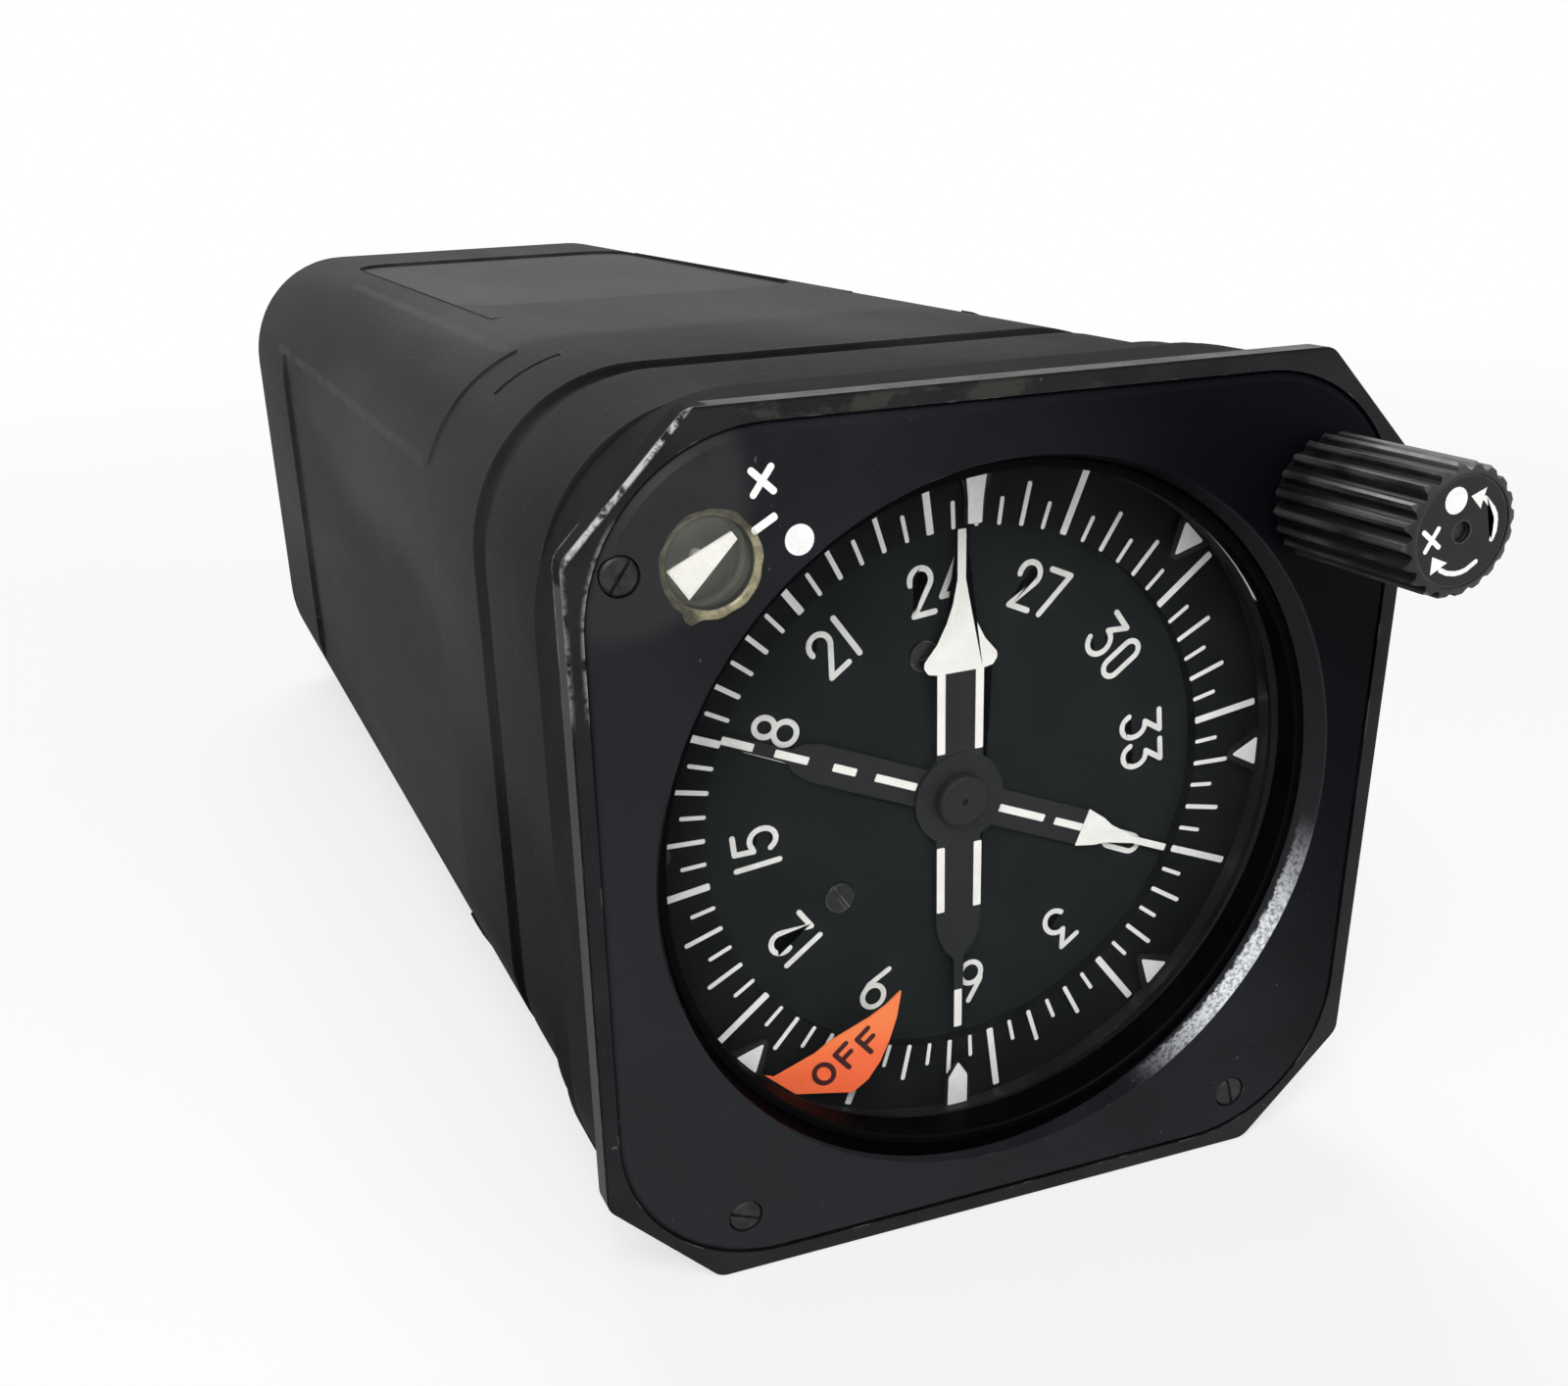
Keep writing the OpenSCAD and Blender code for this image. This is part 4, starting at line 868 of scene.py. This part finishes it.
def flag_letters(work):
    slope = 49
    letter_f = [[(-0.75, 1.2), (-0.75, -1.2)], [(-0.75, 1.2), (0.85, 1.2)], [(-0.75, 0.05), (0.6, 0.05)]]
    for lines, loop, x, z in (([arc(0, 0, 0.98, 1.2, 0, 345, 23)], True, -15.85, -26.26),
                              (letter_f, False, -13.3, -24.75), (letter_f, False, -10.85, -23.55)):
        for line in lines:
            rise = 0.02 + 0.004 * (not loop and line[0][0] != line[1][0])
            ribbon(work, shift(turn(line, slope - 90), x, z), 0.56, flag_front - rise, flag_front, loop)


slabs("flag_letters", letter_red, "flag", flag_letters)


# The null indicator
# A tiny meter with a white wedge under a clear domed window, bedded in yellowed
# cement that has run at the bottom. A cross, a bar and a dot are painted by it.
dress(wear_finish(
    "movement_grey", (0.035, 0.040, 0.032), (0.070, 0.078, 0.062), (0.4, 0.6), patch=2, grain=0.15,
    relief=0.01), "null_movement")
dress(needle_paint, "null_pointer")
dress(see_through("dome_glass", (0.60, 0.60, 0.50), 0.03, 0.05, 0.04), "null_window")
cement = see_through("yellow_cement", (0.40, 0.36, 0.22), 0.10, 0.18)
low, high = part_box("null_movement")
null_x, null_z = (low.x + high.x) * 500, (low.z + high.z) * 500
plate_front = -11.0
glow = cement.near((null_x + 3.4, plate_front, null_z - 2.6), 3.4, 2.4)
cement.set("Alpha", cement.times(cement.ramp(cement.clouds(0.9, 5.0, rough=0.65), 0.36, 0.62, 0.45, 1.0),
                                 cement.ramp(glow, 0.0, 1.0, 0.12, 0.62)))


def cement_ring(work):
    """A low bead round the window, thick at the right and bottom, with a run."""
    rows = []
    steps, around, inner = 96, 8, 3.85
    for i in range(steps):
        a = 2 * math.pi * i / steps
        fat = 0.5 + 0.5 * math.cos(a + 0.75)
        width = 0.22 + 0.42 * fat + (0.05 * math.sin(7 * a) + 0.04 * math.sin(13 * a + 1))
        outer = 4.05 + width + 0.75 * math.exp(-((math.degrees(a) - 247) / 9) ** 2)
        row = []
        for k in range(around):
            b = math.pi * k / (around - 1)
            r = (outer + inner) / 2 + (outer - inner) / 2 * math.cos(b)
            lift = (0.10 + 0.18 * fat) * math.sin(b) + 0.02
            row.append(work.verts.new(((null_x + r * math.cos(a)) / 1000, (plate_front - lift) / 1000,
                                       (null_z + r * math.sin(a)) / 1000)))
        rows.append(row)
    for i in range(steps):
        for k in range(around):
            after = (k + 1) % around
            work.faces.new((rows[i - 1][k], rows[i][k], rows[i][after], rows[i - 1][after]))


slabs("cement_ring", cement, "case", cement_ring)


def plate_marks(work):
    for rise, line in ((0.03, [(-25.36, 36.14), (-23.45, 34.40)]),
                       (0.036, [(-23.65, 36.33), (-25.21, 34.22)])):
        ribbon(work, line, 0.60, plate_front - rise, plate_front)
    bar = turn(soften([(-0.34, -1.25), (0.34, -1.25), (0.34, 1.25), (-0.34, 1.25)], 0.3), 61)
    plate_of(work, shift(bar, -24.3, 31.85), plate_front - coat, plate_front)
    plate_of(work, arc(-21.25, 30.2, 1.3, 1.3, 0, 345, 23), plate_front - coat, plate_front)


slabs("plate_marks", white_paint, "case", plate_marks)


# The set knob
# A moulded black knob with coarse flutes, glossy from fingers, pinned to its
# shaft. Its end disc is marked with a dot, a cross and two curved arrows.
knob = wear_finish(
    "knob_black", (0.0014, 0.0014, 0.0015), (0.0040, 0.0041, 0.0040), (0.30, 0.46), patch=3, grain=0.25,
    relief=0.006, gloss=0.45, worn=(0.034, 0.034, 0.030), worn_width=0.2, worn_share=0.5,
    spots=(0.5, 0.80, (0.08, 0.08, 0.08)))
low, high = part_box("knob")
crest = (high.x - low.x) / 2
from_axis = knob.off_axis((low.x + high.x) / 2, (low.z + high.z) / 2)
# Painted highlight: the flute crests painted lighter, in patches.
crest_highlight_patches = knob.ramp(knob.clouds(2.2, 4.0, (1, 0.4, 1)), 0.36, 0.62, 0.15, 1.0)
knob.over(knob.times(knob.ramp(from_axis, crest - 0.00028, crest - 0.00006), crest_highlight_patches),
          (0.045, 0.048, 0.044))
dress(knob, "knob")
# Painted highlight: the end disc's rim is lighter all round, given through its worn edges.
dress(wear_finish(
    "cap_black", (0.0035, 0.0028, 0.0036), (0.0060, 0.0050, 0.0062), (0.30, 0.46), patch=3, grain=0.2,
    relief=0.004, gloss=0.3, worn=(0.075, 0.072, 0.076), worn_width=0.4, worn_share=0.9), "knob_cap")
low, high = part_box("knob_cap")
knob_x, knob_z, knob_face = (low.x + high.x) * 500, (low.z + high.z) * 500, low.y * 1000


def knob_marks(work):
    def put(points):
        return shift([(x * 0.97, z * 0.97) for x, z in points], knob_x, knob_z)

    depth = (knob_face - coat, knob_face)
    plate_of(work, put(arc(-1.10, 2.76, 1.15, 1.15, 0, 345, 23)), *depth)
    for rise, line in ((0.03, [(-4.05, 0.38), (-2.28, -1.02)]), (0.036, [(-2.57, 0.56), (-3.65, -1.28)])):
        ribbon(work, put(line), 0.42, knob_face - rise, knob_face)
    for bow, head in (
            ([(1.98, 2.66), (3.01, 1.69), (3.40, 1.10), (3.52, 0.61), (3.57, -0.27), (3.35, -0.97)],
             [(0.44, 2.97), (1.97, 3.56), (1.62, 1.84)]),
            ([(-1.74, -3.08), (-1.0, -3.42), (-0.18, -3.57), (0.5, -3.52), (1.06, -3.36), (2.0, -2.76)],
             [(-2.8, -1.82), (-1.13, -2.5), (-2.76, -3.4)])):
        ribbon(work, put(bow), 0.42, *depth)
        plate_of(work, put(head), knob_face - 0.036, knob_face)


slabs("knob_marks", white_paint, "set_knob", knob_marks)


# Metal inside the instrument
# The movement behind the dial: turned shafts, brass gears, alloy frame plates,
# pillars and the plated bodies of motor, transmitters and synchros.
for name, dark, light, rough, stretch, metal, pieces in (
        ("shaft_steel", (0.42, 0.42, 0.43), (0.56, 0.56, 0.57), (0.18, 0.32), (1, 0.1, 1), 1.0,
         ("card_sleeve", "knob_shaft", "flag_shaft")),
        ("gear_brass", (0.55, 0.38, 0.14), (0.68, 0.50, 0.22), (0.22, 0.4), (1, 1, 1), 1.0,
         ("card_gear", "sleeve_gear", "servo_pinion", "heading_gear", "synchro_gear")),
        ("frame_alloy", (0.40, 0.41, 0.42), (0.52, 0.53, 0.54), (0.35, 0.5), (1, 1, 0.15), 1.0,
         ("front_frame", "middle_frame", "rear_frame", "frame_pillars", "front_posts")),
        ("body_nickel", (0.36, 0.35, 0.33), (0.48, 0.47, 0.44), (0.28, 0.45), (1, 1, 1), 1.0,
         ("servo_motor", "heading_transmitter", "axis_synchro", "offset_synchro", "knob_transmitter")),
        ("actuator_bronze", (0.30, 0.20, 0.11), (0.40, 0.28, 0.17), (0.3, 0.45), (1, 1, 1), 1.0,
         ("flag_actuator",)),
        ("bush_steel", (0.08, 0.08, 0.08), (0.14, 0.14, 0.14), (0.3, 0.45), (1, 1, 1), 0.8, ("knob_bush",))):
    dress(wear_finish(
        name, dark, light, rough, patch=4, grain=0.18, relief=0.006, metal=metal, stretch=stretch,
        worn=tuple(min(1, c * 1.3) for c in light), worn_width=0.15, worn_share=0.6), *pieces)


# The boards and the transformer
# Two glass-fibre boards with their larger parts on the inner faces, and a
# laminated transformer on the rear frame.
dress(wear_finish(
    "board_green", (0.012, 0.060, 0.022), (0.022, 0.095, 0.036), (0.3, 0.5), patch=5, grain=0.3,
    relief=0.01, gloss=0.55, spots=(2.4, 0.66, (0.45, 0.30, 0.14))), "left_board", "right_board")
dress(wear_finish(
    "core_steel", (0.10, 0.095, 0.085), (0.17, 0.16, 0.145), (0.4, 0.6), patch=5, grain=0.3, relief=0.02,
    metal=0.6, stretch=(1, 12, 1)), "power_transformer")


# The back of the case
# Four slotted screws hold the can to the rear frame. The receptacle is a plated
# shell on a square flange, with gold-plated contacts in a dark insert.
dress(wear_finish(
    "receptacle_plate", (0.20, 0.20, 0.155), (0.30, 0.29, 0.22), (0.35, 0.55), patch=4, grain=0.2,
    relief=0.008, metal=0.75, worn=(0.5, 0.5, 0.46), worn_width=0.25, worn_share=0.6), "receptacle_shell")
insert = wear_finish(
    "insert_dark", (0.015, 0.030, 0.022), (0.028, 0.045, 0.036), (0.45, 0.6), patch=4, grain=0.2,
    relief=0.01)
contact_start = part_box("receptacle_insert")[1].y * 1000 - 3.9
gold = insert.within(y=(contact_start, contact_start + 10, 0.02))
insert.over(gold, (0.80, 0.58, 0.22))
insert.set("Metallic", gold)
dress(insert, "receptacle_insert")
dress(wear_finish(
    "rear_steel", (0.30, 0.30, 0.30), (0.42, 0.42, 0.42), (0.25, 0.4), patch=2, grain=0.12, relief=0.006,
    metal=0.9, worn=(0.6, 0.6, 0.6), worn_width=0.15, worn_share=0.6), "receptacle_screws", "case_screws")


# The floor and the light
# A pale table that runs far back, a wide soft light from the upper left, a weaker
# one from the right and a pale surround.
def in_view(tree):
    """1 for rays from the camera and for those sent on by shiny or clear surfaces."""
    ray = tree.node("ShaderNodeLightPath").outputs
    return tree.math("MAXIMUM", ray["Is Camera Ray"], ray["Is Glossy Ray"], ray["Is Transmission Ray"])


table = Finish("pale_floor", rough=0.9, gloss=0.1)
table.set("Base Color", table.mix(table.ramp(table.clouds(400, 2.0), 0.3, 0.7), (0.80, 0.80, 0.80),
                                  (0.83, 0.83, 0.83)))
reach, height = 6.0, cad_box[0].z - 0.0002
sheet = bpy.data.meshes.new("floor")
sheet.from_pydata([(-reach, -reach, height), (reach, -reach, height), (reach, reach, height),
                   (-reach, reach, height)], [], [(0, 1, 2, 3)])
sheet.materials.append(table.material)
add("floor", sheet)
white = table.out("ShaderNodeEmission", Color=(1, 1, 1), Strength=1.0)
share = table.ramp(table.vector("DISTANCE", i0=table.place, i1=(0, 0.08, height)), 0.18, 0.75, 0.70, 1.0)
blend = table.out("ShaderNodeMixShader", Fac=table.times(in_view(table), share),
                  i1=table.shader.outputs[0], i2=white)
table.give(table.tree.nodes["Material Output"].inputs[0], blend)

surround = bpy.data.worlds.new("surround")
bpy.context.scene.world = surround
surround.use_nodes = True
sky = Tree(surround.node_tree)
sky.tree.nodes.clear()
dim = sky.out("ShaderNodeBackground", Color=(0.80, 0.84, 0.90), Strength=0.30)
bright = sky.out("ShaderNodeBackground", Color=(1, 1, 1), Strength=1.0)
both = sky.out("ShaderNodeMixShader", Fac=in_view(sky), i1=dim, i2=bright)
sky.node("ShaderNodeOutputWorld", Surface=both)


def soft_lamp(name, place, aim, size, power):
    lamp = bpy.data.lights.new(name, "AREA")
    lamp.shape, lamp.size, lamp.energy = "DISK", size, power
    holder = add(name, lamp)
    holder.location = place
    holder.rotation_euler = (Vector(aim) - Vector(place)).to_track_quat("-Z", "Y").to_euler()


soft_lamp("key_lamp", (-0.36, -0.55, 0.70), (0, 0.0, 0), 0.5, 7.5)
soft_lamp("back_lamp", (0.1, 0.8, 1.0), (0, 0.1, 0), 0.7, 7)
soft_lamp("fill_lamp", (0.6, -1.0, 0.5), (0, 0, 0), 0.8, 2)

bpy.context.scene.view_settings.view_transform = "Standard"
